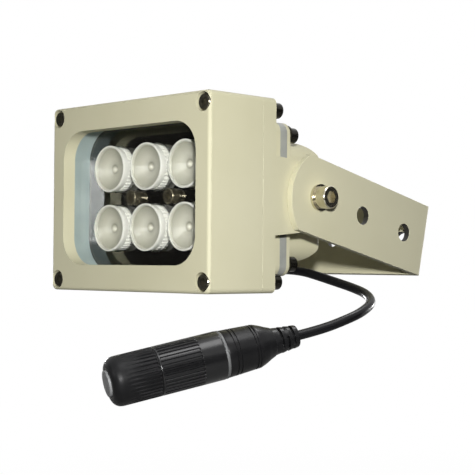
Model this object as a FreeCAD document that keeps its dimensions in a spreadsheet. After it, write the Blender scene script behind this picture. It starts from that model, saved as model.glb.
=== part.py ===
import FreeCAD, Part
import math
import os

import Sketcher
from FreeCAD import Placement, Rotation, Vector

# Infrared illuminator on a folded wall bracket, in millimetres.
# The origin is the middle of the bracket's wall face: +Z up, +Y into the wall, lamp towards -Y.
# The lamp's own frame has its zero at the middle of the housing's lower front edge.

SIZES = {
    # wall bracket, folded from plate
    "bracket_tilt": 13,
    "bracket_reach": 80.5,
    "bracket_height": 34.6,
    "bracket_plate": 3,
    "bracket_bend": 0.6,
    "bracket_fold": 1.5,
    "arm_gap": 0.25,
    "arm_end_reach": 17.6,
    "arm_end_radius": 22.6,
    "arm_hole_radius": 4.25,
    "arm_hole_near": 31.4,
    "arm_hole_far": 63.1,
    "web_hole_inset": 13,
    "web_hole_radius": 4.25,
    "web_centre_radius": 3.25,
    # front housing, one casting
    "housing_width": 107.5,
    "housing_height": 85,
    "housing_depth": 31.8,
    "housing_corner": 2.5,
    "housing_edge": 1.5,
    "front_wall": 6.5,
    "window_border_across": 8.55,
    "window_border_up": 11.75,
    "window_corner": 13,
    "window_ledge": 4.7,
    "post_inset_across": 4.45,
    "post_inset_up": 4.9,
    "counterbore_gap": 0.7,
    "counterbore_sink": 0.6,
    "post_thread_depth": 12,
    # window stack and lamp board
    "cavity_clearance": 0.3,
    "glass_thickness": 3,
    "gasket_length": 9,
    "gasket_wall": 2,
    "gasket_clearance": 0.1,
    "lens_plate_thickness": 1.5,
    "spacer_length": 2.4,
    "spacer_radius": 3.5,
    "board_thickness": 1.6,
    "board_margin_across": 3.9,
    "board_margin_up": 3.45,
    "board_corner": 14,
    "board_screw_offset": 12.8,
    "board_screw_length": 12,
    "pad_thickness": 0.5,
    "pedestal_margin": 4,
    "pedestal_corner": 10,
    "lens_pitch_across": 25.6,
    "lens_pitch_up": 27.4,
    "holder_length": 10,
    "holder_rim_radius": 10.75,
    "holder_foot_radius": 9.9,
    "holder_wall": 0.7,
    "holder_seat_depth": 2.5,
    "holder_seat_width": 0.9,
    "holder_floor_gap": 0.6,
    "holder_floor": 0.8,
    "holder_rib_count": 20,
    "holder_rib_width": 1.1,
    "holder_rib_height": 0.45,
    "lens_clearance": 0.05,
    "lens_sink": 0.2,
    "lens_step": 0.95,
    "lens_dish": 0.6,
    "lens_dimple_radius": 2.1,
    "lens_dimple_depth": 1.3,
    "lens_tip_radius": 4.6,
    "lens_tip_gap": 0.3,
    "emitter_gap": 0.8,
    "lens_well_depth": 3.2,
    "emitter_width": 5,
    "emitter_thickness": 1.5,
    "emitter_dome": 1.8,
    "wire_hole_radius": 3.2,
    "wire_radius": 0.8,
    "wire_spacing": 2.4,
    # rear cover, one casting with the two pivot ears
    "cover_plate": 8,
    "rim_length": 9.7,
    "rim_inset_across": 6.55,
    "rim_inset_up": 7.8,
    "rim_drop": 0.8,
    "rim_corner": 5,
    "rim_wall_across": 5.2,
    "rim_wall_up": 5.2,
    "rim_hollow_corner": 12,
    "rim_floor": 5,
    "ear_root_height": 34.8,
    "ear_radius": 15,
    "pivot_setback": 24.6,
    "seal_inset": 1.9,
    "seal_width": 1.6,
    "seal_depth": 1.4,
    "seal_corner": 17,
    "seal_clearance": 0.05,
    # driver gasket and driver cover
    "driver_inset": 0.3,
    "driver_corner": 5,
    "driver_gasket_thickness": 4.6,
    "driver_flange": 2,
    "driver_screw_inset_across": 3.7,
    "driver_screw_inset_up": 5.7,
    "bulge_inset_across": 6.9,
    "bulge_inset_up": 6.5,
    "bulge_drop": 1.2,
    "bulge_corner": 8.5,
    "bulge_length": 30.5,
    "bulge_nose_length": 15.6,
    "bulge_nose_radius": 20,
    "bulge_edge": 2,
    "bulge_wall": 3,
    # driver circuit inside the cover
    "driver_board_margin_across": 5,
    "driver_board_margin_up": 3.9,
    "driver_board_sink": 3.5,
    "driver_post_radius": 3,
    "driver_post_inset": 4,
    "driver_screw_length": 5,
    "inductor_width": 18,
    "inductor_margin": 3,
    "inductor_thickness": 12,
    "inductor_core_radius": 6,
    "capacitor_radius": 5,
    "capacitor_length": 16,
    "capacitor_spacing": 13,
    "capacitor_gap": 1.5,
    "terminal_length": 15,
    "terminal_thickness": 10,
    "terminal_height": 8,
    # fasteners
    "thread_clearance": 0.05,
    "hole_clearance": 0.25,
    "screw_radius": 2,
    "screw_head_radius": 3.5,
    "screw_head_height": 4,
    "screw_socket": 3,
    "screw_socket_depth": 2,
    "screw_edge": 0.35,
    "front_screw_length": 12,
    "cover_screw_length": 16,
    "lock_washer_radius": 3.7,
    "lock_washer_thickness": 1,
    "flat_washer_radius": 4.4,
    "flat_washer_thickness": 0.8,
    "pivot_radius": 3,
    "pivot_clearance": 0.05,
    "pivot_head_radius": 5,
    "pivot_head_height": 6,
    "pivot_socket": 5,
    "pivot_socket_depth": 3,
    "pivot_screw_length": 12,
    "pivot_washer_radius": 6,
    "pivot_washer_thickness": 1.2,
    "pivot_washer_gap": 0.1,
    "small_screw_radius": 1.5,
    "small_head_radius": 2.75,
    "small_head_height": 2,
    # cable and its right-angle boot
    "cable_diameter": 4,
    "boot_across": 8.5,
    "boot_setback": 8.9,
    "boot_gap": 0.1,
    "boot_radius": 3.1,
    "boot_tip_radius": 2.7,
    "boot_reach": 12.5,
    "boot_clearance": 0.1,
    "boot_flare": 0.8,
    "boot_lip_thickness": 1.2,
    "boot_collar_thickness": 1,
    # in-line connector on the cable's end
    "relief_length": 10.8,
    "relief_start_radius": 4.4,
    "relief_end_radius": 5.6,
    "relief_groove": 0.6,
    "relief_groove_width": 0.8,
    "plug_length": 20.5,
    "plug_start_radius": 5.9,
    "plug_shoulder": 7.4,
    "plug_shoulder_radius": 8.8,
    "plug_end_radius": 9.5,
    "plug_groove": 0.4,
    "neck_radius": 7.9,
    "neck_length": 12,
    "ring_width": 2.4,
    "ring_radius": 9.6,
    "sleeve_length": 26.1,
    "sleeve_radius": 9.75,
    "sleeve_gap": 0.2,
    "sleeve_smooth": 8.7,
    "sleeve_rib_length": 16.6,
    "sleeve_rib_count": 24,
    "sleeve_rib_width": 1.3,
    "sleeve_rib_depth": 0.5,
    "nut_length": 19,
    "nut_grip_length": 13.7,
    "nut_shoulder_radius": 9.2,
    "nut_tip_radius": 7.8,
    "nut_bore": 7.2,
    "nut_mouth": 4.8,
    "nut_lip": 3,
    "end_seal_gap": 0.1,
    "end_seal_length": 9,
    "end_seal_proud": 0.5,
    "end_seal_bore": 2.6,
    "insert_length": 14,
    "pin_radius": 0.8,
    "pin_length": 8,
    "pin_circle": 3.4,
    "pin_count": 3,
}

CABLE_ROUTE = [
    # chosen points in the lamp's frame, after the boot's tip and as far as the plug
    (36, 65, 10.2),
    (45.6, 66.1, 9.5),
    (53.4, 66.9, 7.7),
    (62.5, 67.9, 5.3),
    (74, 68.1, 2.5),
    (84.6, 65.1, -0.1),
    (93.4, 57.3, -3.5),
    (96.6, 46.2, -7.1),
    (96.3, 37, -9.8),
    (92.73, 25.85, -13.56),
    (88, 16, -16),
]

os.makedirs("parts", exist_ok=True)
document = FreeCAD.newDocument("infrared_illuminator")
sheet = document.addObject("Spreadsheet::Sheet", "Sizes")


class Size:
    """A length or an angle: its formula in the sheet's words, and its present value."""

    def __init__(self, formula, value):
        self.formula = formula
        self.value = value

    def __add__(self, other):
        other = as_size(other)
        return Size("(%s + %s)" % (self.formula, other.formula), self.value + other.value)

    def __sub__(self, other):
        other = as_size(other)
        return Size("(%s - %s)" % (self.formula, other.formula), self.value - other.value)

    def __mul__(self, other):
        other = as_size(other)
        return Size("(%s * %s)" % (self.formula, other.formula), self.value * other.value)

    def __truediv__(self, other):
        other = as_size(other)
        return Size("(%s / %s)" % (self.formula, other.formula), self.value / other.value)

    def __neg__(self):
        return Size("(0 - %s)" % self.formula, -self.value)


def as_size(amount):
    """A plain number beside sizes, such as the 2 that halves a width."""
    if isinstance(amount, Size):
        return amount
    return Size(repr(amount), amount)


def sine(angle):
    return Size("sin(%s)" % angle.formula, math.sin(math.radians(angle.value)))


def cosine(angle):
    return Size("cos(%s)" % angle.formula, math.cos(math.radians(angle.value)))


def root(amount):
    return Size("sqrt(%s)" % amount.formula, math.sqrt(amount.value))


class Given:
    """The sheet's sizes by their names."""


given = Given()
for row, (word, number) in enumerate(SIZES.items(), 1):
    sheet.set("A%d" % row, word)
    sheet.set("B%d" % row, str(number))
    sheet.setAlias("B%d" % row, word)
    setattr(given, word, Size("Sizes." + word, number))
document.recompute()

# Planes of the window stack, of the rear cover and of the driver cover, from the front face back.
glass_front = given.front_wall
gasket_front = glass_front + given.glass_thickness
plate_front = gasket_front + given.gasket_length
spacer_front = plate_front + given.lens_plate_thickness
board_front = spacer_front + given.spacer_length
pad_front = board_front + given.board_thickness
pedestal_front = pad_front + given.pad_thickness
rear_face = given.housing_depth + given.cover_plate
rim_end = rear_face + given.rim_length
flange_front = rim_end + given.driver_gasket_thickness
flange_end = flange_front + given.driver_flange
bulge_end = flange_front + given.bulge_length
bulge_nose_start = bulge_end - given.bulge_nose_length
driver_board_level = rim_end - given.driver_board_sink
driver_board_end = driver_board_level + given.board_thickness
pivot_depth = rear_face + given.pivot_setback
boot_depth = flange_end + given.boot_setback

# Widths and heights, each taken from the piece that it fits.
window_width = given.housing_width - given.window_border_across * 2
window_height = given.housing_height - given.window_border_up * 2
cavity_width = window_width + given.window_ledge * 2
cavity_height = window_height + given.window_ledge * 2
board_width = cavity_width - given.board_margin_across * 2
board_height = cavity_height - given.board_margin_up * 2
pedestal_width = board_width - given.pedestal_margin * 2
pedestal_height = board_height - given.pedestal_margin * 2
rim_width = given.housing_width - given.rim_inset_across * 2
rim_height = given.housing_height - given.rim_inset_up * 2
driver_width = rim_width - given.driver_inset * 2
driver_height = rim_height - given.driver_inset * 2
driver_screw_across = rim_width / 2 - given.driver_screw_inset_across
driver_screw_up = rim_height / 2 - given.driver_screw_inset_up
bulge_width = driver_width - given.bulge_inset_across * 2
bulge_height = driver_height - given.bulge_inset_up * 2
driver_board_width = bulge_width - (given.bulge_wall + given.driver_board_margin_across) * 2
driver_board_height = bulge_height - (given.bulge_wall + given.driver_board_margin_up) * 2

# The bracket's arms outside the ears, and its web holes.
arm_inside = given.housing_width / 2 + given.arm_gap
arm_outside = arm_inside + given.bracket_plate
web_hole_offset = arm_outside - given.web_hole_inset

# Middles, screw places and fits.
middle = given.housing_height / 2
pivot_level = middle
rim_middle = middle - given.rim_drop
bulge_middle = middle - given.bulge_drop
bulge_bottom = bulge_middle - bulge_height / 2
boot_level = bulge_bottom - given.boot_radius - given.boot_gap
boot_flange_radius = given.boot_radius + given.boot_flare
post_across = given.housing_width / 2 - given.post_inset_across
post_up = given.housing_height / 2 - given.post_inset_up
counterbore_radius = given.screw_head_radius + given.counterbore_gap
counterbore_depth = given.screw_head_height + given.counterbore_sink
screw_hole = given.screw_radius + given.hole_clearance
screw_thread = given.screw_radius + given.thread_clearance
washer_stack = given.flat_washer_thickness + given.lock_washer_thickness

# The lamp's zero, so that its pivot lies at the bracket's reach along the tilted arms.
lamp_along = -(pivot_depth + given.bracket_reach * cosine(given.bracket_tilt))
lamp_up = given.bracket_reach * sine(given.bracket_tilt) - pivot_level

# How far a cut goes past the face that it breaks through, and how much deeper a thread is drilled.
overrun = as_size(1)
front_plane = as_size(0)

LAMP_CORNERS = [(-1, -1), (1, -1), (1, 1), (-1, 1)]


def bind(drawing, constraint, size):
    """Adds a dimension to a drawing and ties it to its formula."""
    number = drawing.addConstraint(constraint)
    word = "size%d" % number
    drawing.renameConstraint(number, word)
    drawing.setExpression("Constraints." + word, size.formula)


def pin_point(drawing, curve, end, across, up):
    """Holds one end of a curve at its place; a plain 0 puts it on the drawing's axis."""
    for kind, axis, size in (("DistanceX", -2, across), ("DistanceY", -1, up)):
        if isinstance(size, Size):
            bind(drawing, Sketcher.Constraint(kind, -1, 1, curve, end, size.value), size)
        else:
            drawing.addConstraint(Sketcher.Constraint("PointOnObject", curve, end, axis))


def new_body(name):
    body = document.addObject("PartDesign::Body", name)
    body.Label = name
    return body


def new_drawing(body, name, plane, level=None):
    """A drawing on one of the body's origin planes, or moved out along that plane's normal."""
    drawing = body.newObject("Sketcher::SketchObject", body.Name + "_" + name)
    support = [part for part in body.Origin.OriginFeatures if part.Role == plane][0]
    drawing.AttachmentSupport = (support, [""])
    drawing.MapMode = "FlatFace"
    if level is not None:
        drawing.setExpression("AttachmentOffset.Base.z", level.formula)
    return drawing


def own_axis(body, role):
    """One of the body's own axes, such as X_Axis, for a ring of repeats."""
    return [part for part in body.Origin.OriginFeatures if part.Role == role][0], [""]


def seat(part, along_x, along_y, along_z):
    """Ties a part's place in the model to formulas."""
    for axis, size in (("x", along_x), ("y", along_y), ("z", along_z)):
        if isinstance(size, Size):
            part.setExpression("Placement.Base." + axis, size.formula)


def seat_in_lamp(part, along_x=0, along_y=0, along_z=0):
    seat(part, along_x, lamp_along + along_y, lamp_up + along_z)


def number_of(amount):
    return amount.value if isinstance(amount, Size) else amount


def outline(drawing, corners):
    """A closed outline; a corner is (across, up), or (across, up, radius) where it is rounded."""
    count = len(corners)
    spots = [Vector(number_of(corner[0]), number_of(corner[1]), 0) for corner in corners]
    rounds = []
    for place, corner in enumerate(corners):
        spot = spots[place]
        if len(corner) == 2:
            rounds.append((spot, spot, None))
            continue
        back = (spots[place - 1] - spot).normalize()
        ahead = (spots[(place + 1) % count] - spot).normalize()
        half = back.getAngle(ahead) / 2
        radius = corner[2].value
        reach = radius / math.tan(half)
        centre = spot + (back + ahead).normalize() * (radius / math.sin(half))
        rounds.append((spot + back * reach, spot + ahead * reach, centre))
    first = drawing.GeometryCount
    for place in range(count):
        leave = rounds[place][1]
        arrive = rounds[(place + 1) % count][0]
        drawing.addGeometry(Part.LineSegment(leave, arrive), False)
    for place, corner in enumerate(corners):
        before = first + (place - 1) % count
        after = first + place
        enter, leave, centre = rounds[place]
        if centre is None:
            drawing.addConstraint(Sketcher.Constraint("Coincident", before, 2, after, 1))
            pin_point(drawing, after, 1, corner[0], corner[1])
            continue
        turns_left = (enter - centre).cross(leave - centre).z > 0
        low, high = (enter, leave) if turns_left else (leave, enter)
        start = math.atan2(low.y - centre.y, low.x - centre.x)
        stop = math.atan2(high.y - centre.y, high.x - centre.x)
        circle = Part.Circle(centre, Vector(0, 0, 1), corner[2].value)
        curve = drawing.addGeometry(Part.ArcOfCircle(circle, start, stop), False)
        tip = drawing.addGeometry(Part.Point(spots[place]), True)
        pin_point(drawing, tip, 1, corner[0], corner[1])
        drawing.addConstraint(Sketcher.Constraint("PointOnObject", tip, 1, before))
        drawing.addConstraint(Sketcher.Constraint("PointOnObject", tip, 1, after))
        enter_end, leave_end = (1, 2) if turns_left else (2, 1)
        drawing.addConstraint(Sketcher.Constraint("Tangent", before, 2, curve, enter_end))
        drawing.addConstraint(Sketcher.Constraint("Tangent", after, 1, curve, leave_end))
        bind(drawing, Sketcher.Constraint("Radius", curve, corner[2].value), corner[2])


def rounded_box(drawing, width, height, corner, up=0):
    """A rectangle with rounded corners, centred on the upright axis at a height."""
    right = width / 2
    top = up + height / 2 if isinstance(up, Size) else height / 2
    low = up - height / 2 if isinstance(up, Size) else -(height / 2)
    outline(drawing, [(-right, low, corner), (right, low, corner),
                      (right, top, corner), (-right, top, corner)])


def ring_line(drawing, across, up, radius):
    """A circle with its centre and radius tied."""
    centre = Vector(number_of(across), number_of(up), 0)
    curve = drawing.addGeometry(Part.Circle(centre, Vector(0, 0, 1), radius.value), False)
    pin_point(drawing, curve, 3, across, up)
    bind(drawing, Sketcher.Constraint("Radius", curve, radius.value), radius)


def pad(body, drawing, length, backwards=False):
    feature = body.newObject("PartDesign::Pad", drawing.Name + "_pad")
    feature.Profile = drawing
    feature.setExpression("Length", length.formula)
    feature.Reversed = backwards
    document.recompute()
    return feature


def pocket(body, drawing, length, backwards=False):
    """Cuts a drawing out of the body, and makes sure that it took something away."""
    before = body.Shape.Volume
    feature = body.newObject("PartDesign::Pocket", drawing.Name + "_cut")
    feature.Profile = drawing
    feature.setExpression("Length", length.formula)
    feature.Reversed = backwards
    document.recompute()
    if not body.Shape.Volume < before:
        raise ValueError(drawing.Name + " cuts nothing")
    return feature


def slab(body, name, front, thickness, draw):
    """Adds a layer that lies across the lamp, from its front plane backwards."""
    drawing = new_drawing(body, name, "XZ_Plane", -front)
    draw(drawing)
    return pad(body, drawing, thickness, backwards=True)


def sink(body, name, front, depth, draw):
    """Cuts a recess from a front plane backwards."""
    drawing = new_drawing(body, name, "XZ_Plane", -front)
    draw(drawing)
    return pocket(body, drawing, depth)


def turned(body, name, corners, about="V_Axis", plane="XY_Plane"):
    """A solid of revolution; its outline lies in one of the body's planes beside the axis."""
    drawing = new_drawing(body, name, plane)
    outline(drawing, corners)
    feature = body.newObject("PartDesign::Revolution", body.Name + "_" + name + "_turn")
    feature.Profile = drawing
    feature.ReferenceAxis = (drawing, [about])
    feature.Angle = 360
    document.recompute()
    return feature


def round_edges(body, name, radius, chosen):
    """Rounds those edges of the body so far that the test picks."""
    base = body.Tip
    picked = ["Edge%d" % (place + 1) for place, edge in enumerate(base.Shape.Edges) if chosen(edge)]
    feature = body.newObject("PartDesign::Fillet", body.Name + "_" + name)
    feature.Base = (base, picked)
    feature.setExpression("Radius", radius.formula)
    document.recompute()
    return feature


def all_points(edge, test):
    """True when both ends and the middle of an edge pass a test."""
    middle_point = edge.valueAt((edge.FirstParameter + edge.LastParameter) / 2)
    return all(test(point) for point in [vertex.Point for vertex in edge.Vertexes] + [middle_point])


def close(left, right):
    return abs(left - right) < 1e-4


def copies(name, master, places):
    """One group of equal fasteners; a place is (x, y, z in the lamp, turn about the upright)."""
    links = []
    for number, (across, along, up, turn) in enumerate(places, 1):
        link = document.addObject("App::Link", "%s_%d" % (name, number))
        link.LinkedObject = master
        link.Placement = Placement(Vector(), Rotation(Vector(0, 0, 1), turn))
        seat_in_lamp(link, across, along, up)
        links.append(link)
    group = document.addObject("Part::Compound", name)
    group.Label = name
    group.Links = links
    document.recompute()
    return group


def cap_screw(name, radius, length, head_radius, head_height, socket, socket_depth):
    """A socket-head screw: head towards -Y from its bearing face at zero, shank towards +Y."""
    body = new_body(name)
    edge = given.screw_edge
    turned(body, "profile", [
        (0, -head_height), (head_radius - edge, -head_height), (head_radius, edge - head_height),
        (head_radius, 0), (radius, 0), (radius, length - edge), (radius - edge, length), (0, length)])
    corner = socket / root(as_size(3))
    half = corner / 2

    def hexagon(drawing):
        outline(drawing, [(corner, 0), (half, socket / 2), (-half, socket / 2),
                          (-corner, 0), (-half, -(socket / 2)), (half, -(socket / 2))])

    sink(body, "socket", -head_height, socket_depth, hexagon)
    return body


def washer(name, hole, radius, thickness):
    """A flat ring with its front face at zero."""
    body = new_body(name)

    def rings(drawing):
        ring_line(drawing, 0, 0, radius)
        ring_line(drawing, 0, 0, hole)

    slab(body, "ring", front_plane, thickness, rings)
    return body


def four_posts(drawing, radius):
    """Holes at the housing's four corner posts."""
    for side, level in LAMP_CORNERS:
        ring_line(drawing, post_across * side, middle + post_up * level, radius)


def four_rim_screws(drawing, radius):
    """Holes at the corners of the rear cover's rim."""
    for side, level in LAMP_CORNERS:
        across = driver_screw_across * side
        ring_line(drawing, across, rim_middle + driver_screw_up * level, radius)


def two_board_screws(drawing, radius):
    for side in (-1, 1):
        ring_line(drawing, given.board_screw_offset * side, middle, radius)


def lens_places():
    """The six lens centres, upper row first."""
    for level in (1, -1):
        for column in (-1, 0, 1):
            across = given.lens_pitch_across * column
            yield across, middle + given.lens_pitch_up / 2 * level


def make_front_housing():
    """The cast front: a square-edged box with a rounded window and four tapped corner posts."""
    body = new_body("front_housing")
    width = given.housing_width
    height = given.housing_height
    slab(body, "block", front_plane, given.housing_depth,
         lambda drawing: rounded_box(drawing, width, height, given.housing_corner, middle))
    round_edges(body, "front_edge", given.housing_edge,
                lambda edge: all_points(edge, lambda point: close(point.y, 0)))
    sink(body, "window", front_plane, given.front_wall + overrun,
         lambda drawing: rounded_box(drawing, window_width, window_height,
                                     given.window_corner, middle))
    sink(body, "cavity", given.front_wall, given.housing_depth,
         lambda drawing: rounded_box(drawing, cavity_width, cavity_height,
                                     given.window_corner + given.window_ledge, middle))
    sink(body, "counterbores", front_plane, counterbore_depth,
         lambda drawing: four_posts(drawing, counterbore_radius))
    sink(body, "posts", counterbore_depth, given.housing_depth,
         lambda drawing: four_posts(drawing, screw_thread))
    seat_in_lamp(body)
    return body


def stack_layer(name, front, thickness, inset, holes):
    """A layer of the window stack: the cavity's outline less an inset, with its own holes."""
    body = new_body(name)

    def draw(drawing):
        grow = given.window_ledge - inset
        rounded_box(drawing, window_width + grow * 2, window_height + grow * 2,
                    given.window_corner + grow, middle)
        holes(drawing)

    slab(body, "layer", front, thickness, draw)
    seat_in_lamp(body)
    return body


def make_window_stack():
    """Glass, silicone ring and glossy lens plate, pressed behind the window one after another."""
    inset = given.gasket_clearance + given.gasket_wall

    def ring_hole(drawing):
        grow = given.window_ledge - inset
        rounded_box(drawing, window_width + grow * 2, window_height + grow * 2,
                    given.window_corner + grow, middle)

    def lens_holes(drawing):
        for across, up in lens_places():
            ring_line(drawing, across, up, given.holder_rim_radius + given.hole_clearance)
        two_board_screws(drawing, screw_hole)

    return [
        stack_layer("window_glass", glass_front, given.glass_thickness,
                    given.cavity_clearance, lambda drawing: None),
        stack_layer("window_gasket", gasket_front, given.gasket_length,
                    given.gasket_clearance, ring_hole),
        stack_layer("lens_plate", plate_front, given.lens_plate_thickness,
                    given.cavity_clearance, lens_holes),
    ]


def board_layer(name, front, thickness):
    """The circuit board or its heat pad: same outline, screw holes and a hole for the leads."""
    body = new_body(name)

    def draw(drawing):
        rounded_box(drawing, board_width, board_height, given.board_corner, middle)
        two_board_screws(drawing, screw_hole)
        ring_line(drawing, 0, middle, given.wire_hole_radius)

    slab(body, "layer", front, thickness, draw)
    seat_in_lamp(body)
    return body


def make_lamp_board():
    """The board with its emitters, the heat pad behind it and the spacers and screws through it."""
    board = new_body("led_board")

    def draw(drawing):
        rounded_box(drawing, board_width, board_height, given.board_corner, middle)
        two_board_screws(drawing, screw_hole)

    slab(board, "layer", board_front, given.board_thickness, draw)
    seat_in_lamp(board)
    spacer = washer("spacer_master", screw_hole, given.spacer_radius, given.spacer_length)
    screw = cap_screw("board_screw_master", given.screw_radius, given.board_screw_length,
                      given.screw_head_radius, given.screw_head_height,
                      given.screw_socket, given.screw_socket_depth)
    sides = [given.board_screw_offset * side for side in (-1, 1)]
    return [
        board,
        board_layer("thermal_pad", pad_front, given.pad_thickness),
        copies("plate_spacers", spacer, [(side, spacer_front, middle, 0) for side in sides]),
        copies("board_screws", screw, [(side, plate_front, middle, 0) for side in sides]),
    ]


def make_lens_holder(number, across, up):
    """A ribbed translucent cup: a rim that frames the lens, a seat under its flange and an open foot."""
    body = new_body("lens_holder_%d" % number)
    rim = given.holder_rim_radius
    foot = given.holder_foot_radius
    long = given.holder_length
    wall = given.holder_wall
    shelf = given.holder_seat_depth
    inner = rim - wall - given.holder_seat_width
    floor_hole = given.lens_tip_radius + given.holder_floor_gap
    turned(body, "wall", [
        (rim - wall, 0), (rim, 0), (foot, long), (floor_hole, long),
        (floor_hole, long - given.holder_floor), (foot - wall * 2, long - given.holder_floor),
        (inner, shelf + wall), (inner, shelf), (rim - wall, shelf)])
    drawing = new_drawing(body, "rib", "XY_Plane", -(given.holder_rib_width / 2))
    outline(drawing, [
        (inner, shelf + wall), (rim - (rim - foot) * shelf / long, shelf + wall),
        (foot + given.holder_rib_height, long), (foot - wall, long)])
    rib = pad(body, drawing, given.holder_rib_width)
    ring = body.newObject("PartDesign::PolarPattern", body.Name + "_ribs")
    ring.Originals = [rib]
    ring.Axis = own_axis(body, "Y_Axis")
    ring.Angle = 360
    ring.setExpression("Occurrences", given.holder_rib_count.formula)
    body.Tip = ring
    document.recompute()
    seat_in_lamp(body, across, board_front - long, up)
    return body


def make_lens(number, across, up):
    """A frosted lens: flange in the holder's seat, dished face with a dimple, well for the emitter."""
    body = new_body("lens_%d" % number)
    flange = given.holder_rim_radius - given.holder_wall - given.lens_clearance
    neck = given.holder_rim_radius - given.holder_wall - given.holder_seat_width - given.lens_clearance * 4
    shelf = given.holder_seat_depth
    hollow = given.lens_sink + given.lens_step
    dish = flange - given.holder_wall
    end = given.holder_length - given.emitter_thickness - given.lens_tip_gap
    well = given.emitter_dome + given.emitter_gap
    turned(body, "profile", [
        (0, hollow + given.lens_dish + given.lens_dimple_depth),
        (given.lens_dimple_radius, hollow + given.lens_dish), (dish, hollow), (dish, given.lens_sink),
        (flange, given.lens_sink), (flange, shelf), (neck, shelf),
        (given.lens_tip_radius, end), (well, end),
        (well, end - given.lens_well_depth), (0, end - given.lens_well_depth)])
    seat_in_lamp(body, across, board_front - given.holder_length, up)
    return body


def make_emitter(number, across, up):
    """A square emitter with a small dome, soldered on the board."""
    body = new_body("led_emitter_%d" % number)
    wide = given.emitter_width / 2
    base = given.holder_length - given.emitter_thickness
    slab(body, "base", base, given.emitter_thickness,
         lambda drawing: outline(drawing, [(-wide, -wide), (wide, -wide), (wide, wide), (-wide, wide)]))
    dome = given.emitter_dome
    turned(body, "dome", [(0, base - dome), (dome, base - dome, dome * 0.98), (dome, base), (0, base)])
    seat_in_lamp(body, across, board_front - given.holder_length, up)
    return body


def make_rear_cover():
    """The cast rear cover: plate, heat pedestal inside, hollow rim outside and two pivot ears."""
    body = new_body("rear_cover")
    front = given.housing_depth
    slab(body, "plate", front, given.cover_plate,
         lambda drawing: rounded_box(drawing, given.housing_width, given.housing_height,
                                     given.housing_corner, middle))
    slab(body, "pedestal", pedestal_front, front - pedestal_front,
         lambda drawing: rounded_box(drawing, pedestal_width, pedestal_height,
                                     given.pedestal_corner, middle))
    slab(body, "rim", rear_face, given.rim_length,
         lambda drawing: rounded_box(drawing, rim_width, rim_height,
                                     given.rim_corner, rim_middle))
    ear_thickness = given.housing_width / 2 - rim_width / 2
    for name, side in (("far_ear", -1), ("near_ear", 1)):
        level = rim_width / 2 if side > 0 else -(given.housing_width / 2)
        drawing = new_drawing(body, name, "YZ_Plane", level)
        ear_outline(drawing)
        pad(body, drawing, ear_thickness)
    hollow_depth = rim_end - given.housing_depth - given.rim_floor
    sink(body, "hollow", given.housing_depth + given.rim_floor, hollow_depth,
         lambda drawing: rounded_box(drawing, rim_width - given.rim_wall_across * 2,
                                     rim_height - given.rim_wall_up * 2,
                                     given.rim_hollow_corner, rim_middle))
    posts = driver_board_level - given.housing_depth - given.rim_floor
    slab(body, "board_posts", given.housing_depth + given.rim_floor, posts,
         lambda drawing: driver_posts(drawing, given.driver_post_radius))
    sink(body, "board_post_holes", driver_board_level - given.driver_screw_length,
         given.driver_screw_length,
         lambda drawing: driver_posts(drawing, given.small_screw_radius + given.thread_clearance))
    sink(body, "corner_holes", front, given.cover_plate + overrun,
         lambda drawing: four_posts(drawing, screw_hole))
    thread = given.cover_screw_length - (flange_end + washer_stack - rim_end) + overrun
    sink(body, "rim_threads", rim_end - thread, thread,
         lambda drawing: four_rim_screws(drawing, screw_thread))
    sink(body, "board_threads", pedestal_front,
         plate_front + given.board_screw_length + overrun - pedestal_front,
         lambda drawing: two_board_screws(drawing, screw_thread))
    sink(body, "wire_hole", pedestal_front, given.housing_depth,
         lambda drawing: ring_line(drawing, 0, middle, given.wire_hole_radius))
    sink(body, "seal_groove", front, given.seal_depth, lambda drawing: seal_ring(drawing, front_plane))
    drawing = new_drawing(body, "pivot_threads", "YZ_Plane", -(given.housing_width / 2) - overrun)
    ring_line(drawing, pivot_depth, pivot_level, given.pivot_radius + given.thread_clearance)
    pocket(body, drawing, given.housing_width + overrun * 2, backwards=True)
    seat_in_lamp(body)
    return body


def ear_outline(drawing):
    """An ear seen from the side: straight root on the plate, two tangent edges, round end."""
    root_up = pivot_level + given.ear_root_height / 2
    root_low = pivot_level - given.ear_root_height / 2
    start = Vector(rear_face.value, root_low.value, 0)
    stop = Vector(rear_face.value, root_up.value, 0)
    centre = Vector(pivot_depth.value, pivot_level.value, 0)
    radius = given.ear_radius.value
    away = stop - centre
    lean = math.atan2(away.y, away.x) - math.acos(radius / away.Length)
    upper = centre + Vector(math.cos(lean), math.sin(lean), 0) * radius
    lower = Vector(upper.x, 2 * centre.y - upper.y, 0)
    base = drawing.addGeometry(Part.LineSegment(stop, start), False)
    bottom = drawing.addGeometry(Part.LineSegment(start, lower), False)
    circle = Part.Circle(centre, Vector(0, 0, 1), radius)
    end = drawing.addGeometry(Part.ArcOfCircle(circle, -lean, lean), False)
    top = drawing.addGeometry(Part.LineSegment(upper, stop), False)
    pin_point(drawing, base, 1, rear_face, root_up)
    pin_point(drawing, base, 2, rear_face, root_low)
    drawing.addConstraint(Sketcher.Constraint("Coincident", base, 2, bottom, 1))
    drawing.addConstraint(Sketcher.Constraint("Coincident", top, 2, base, 1))
    drawing.addConstraint(Sketcher.Constraint("Tangent", bottom, 2, end, 1))
    drawing.addConstraint(Sketcher.Constraint("Tangent", end, 2, top, 1))
    pin_point(drawing, end, 3, pivot_depth, pivot_level)
    bind(drawing, Sketcher.Constraint("Radius", end, radius), given.ear_radius)


def driver_posts(drawing, radius):
    """Four posts at the corners of the driver board."""
    across = driver_board_width / 2 - given.driver_post_inset
    rise = driver_board_height / 2 - given.driver_post_inset
    for side, level in LAMP_CORNERS:
        ring_line(drawing, across * side, bulge_middle + rise * level, radius)


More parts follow.
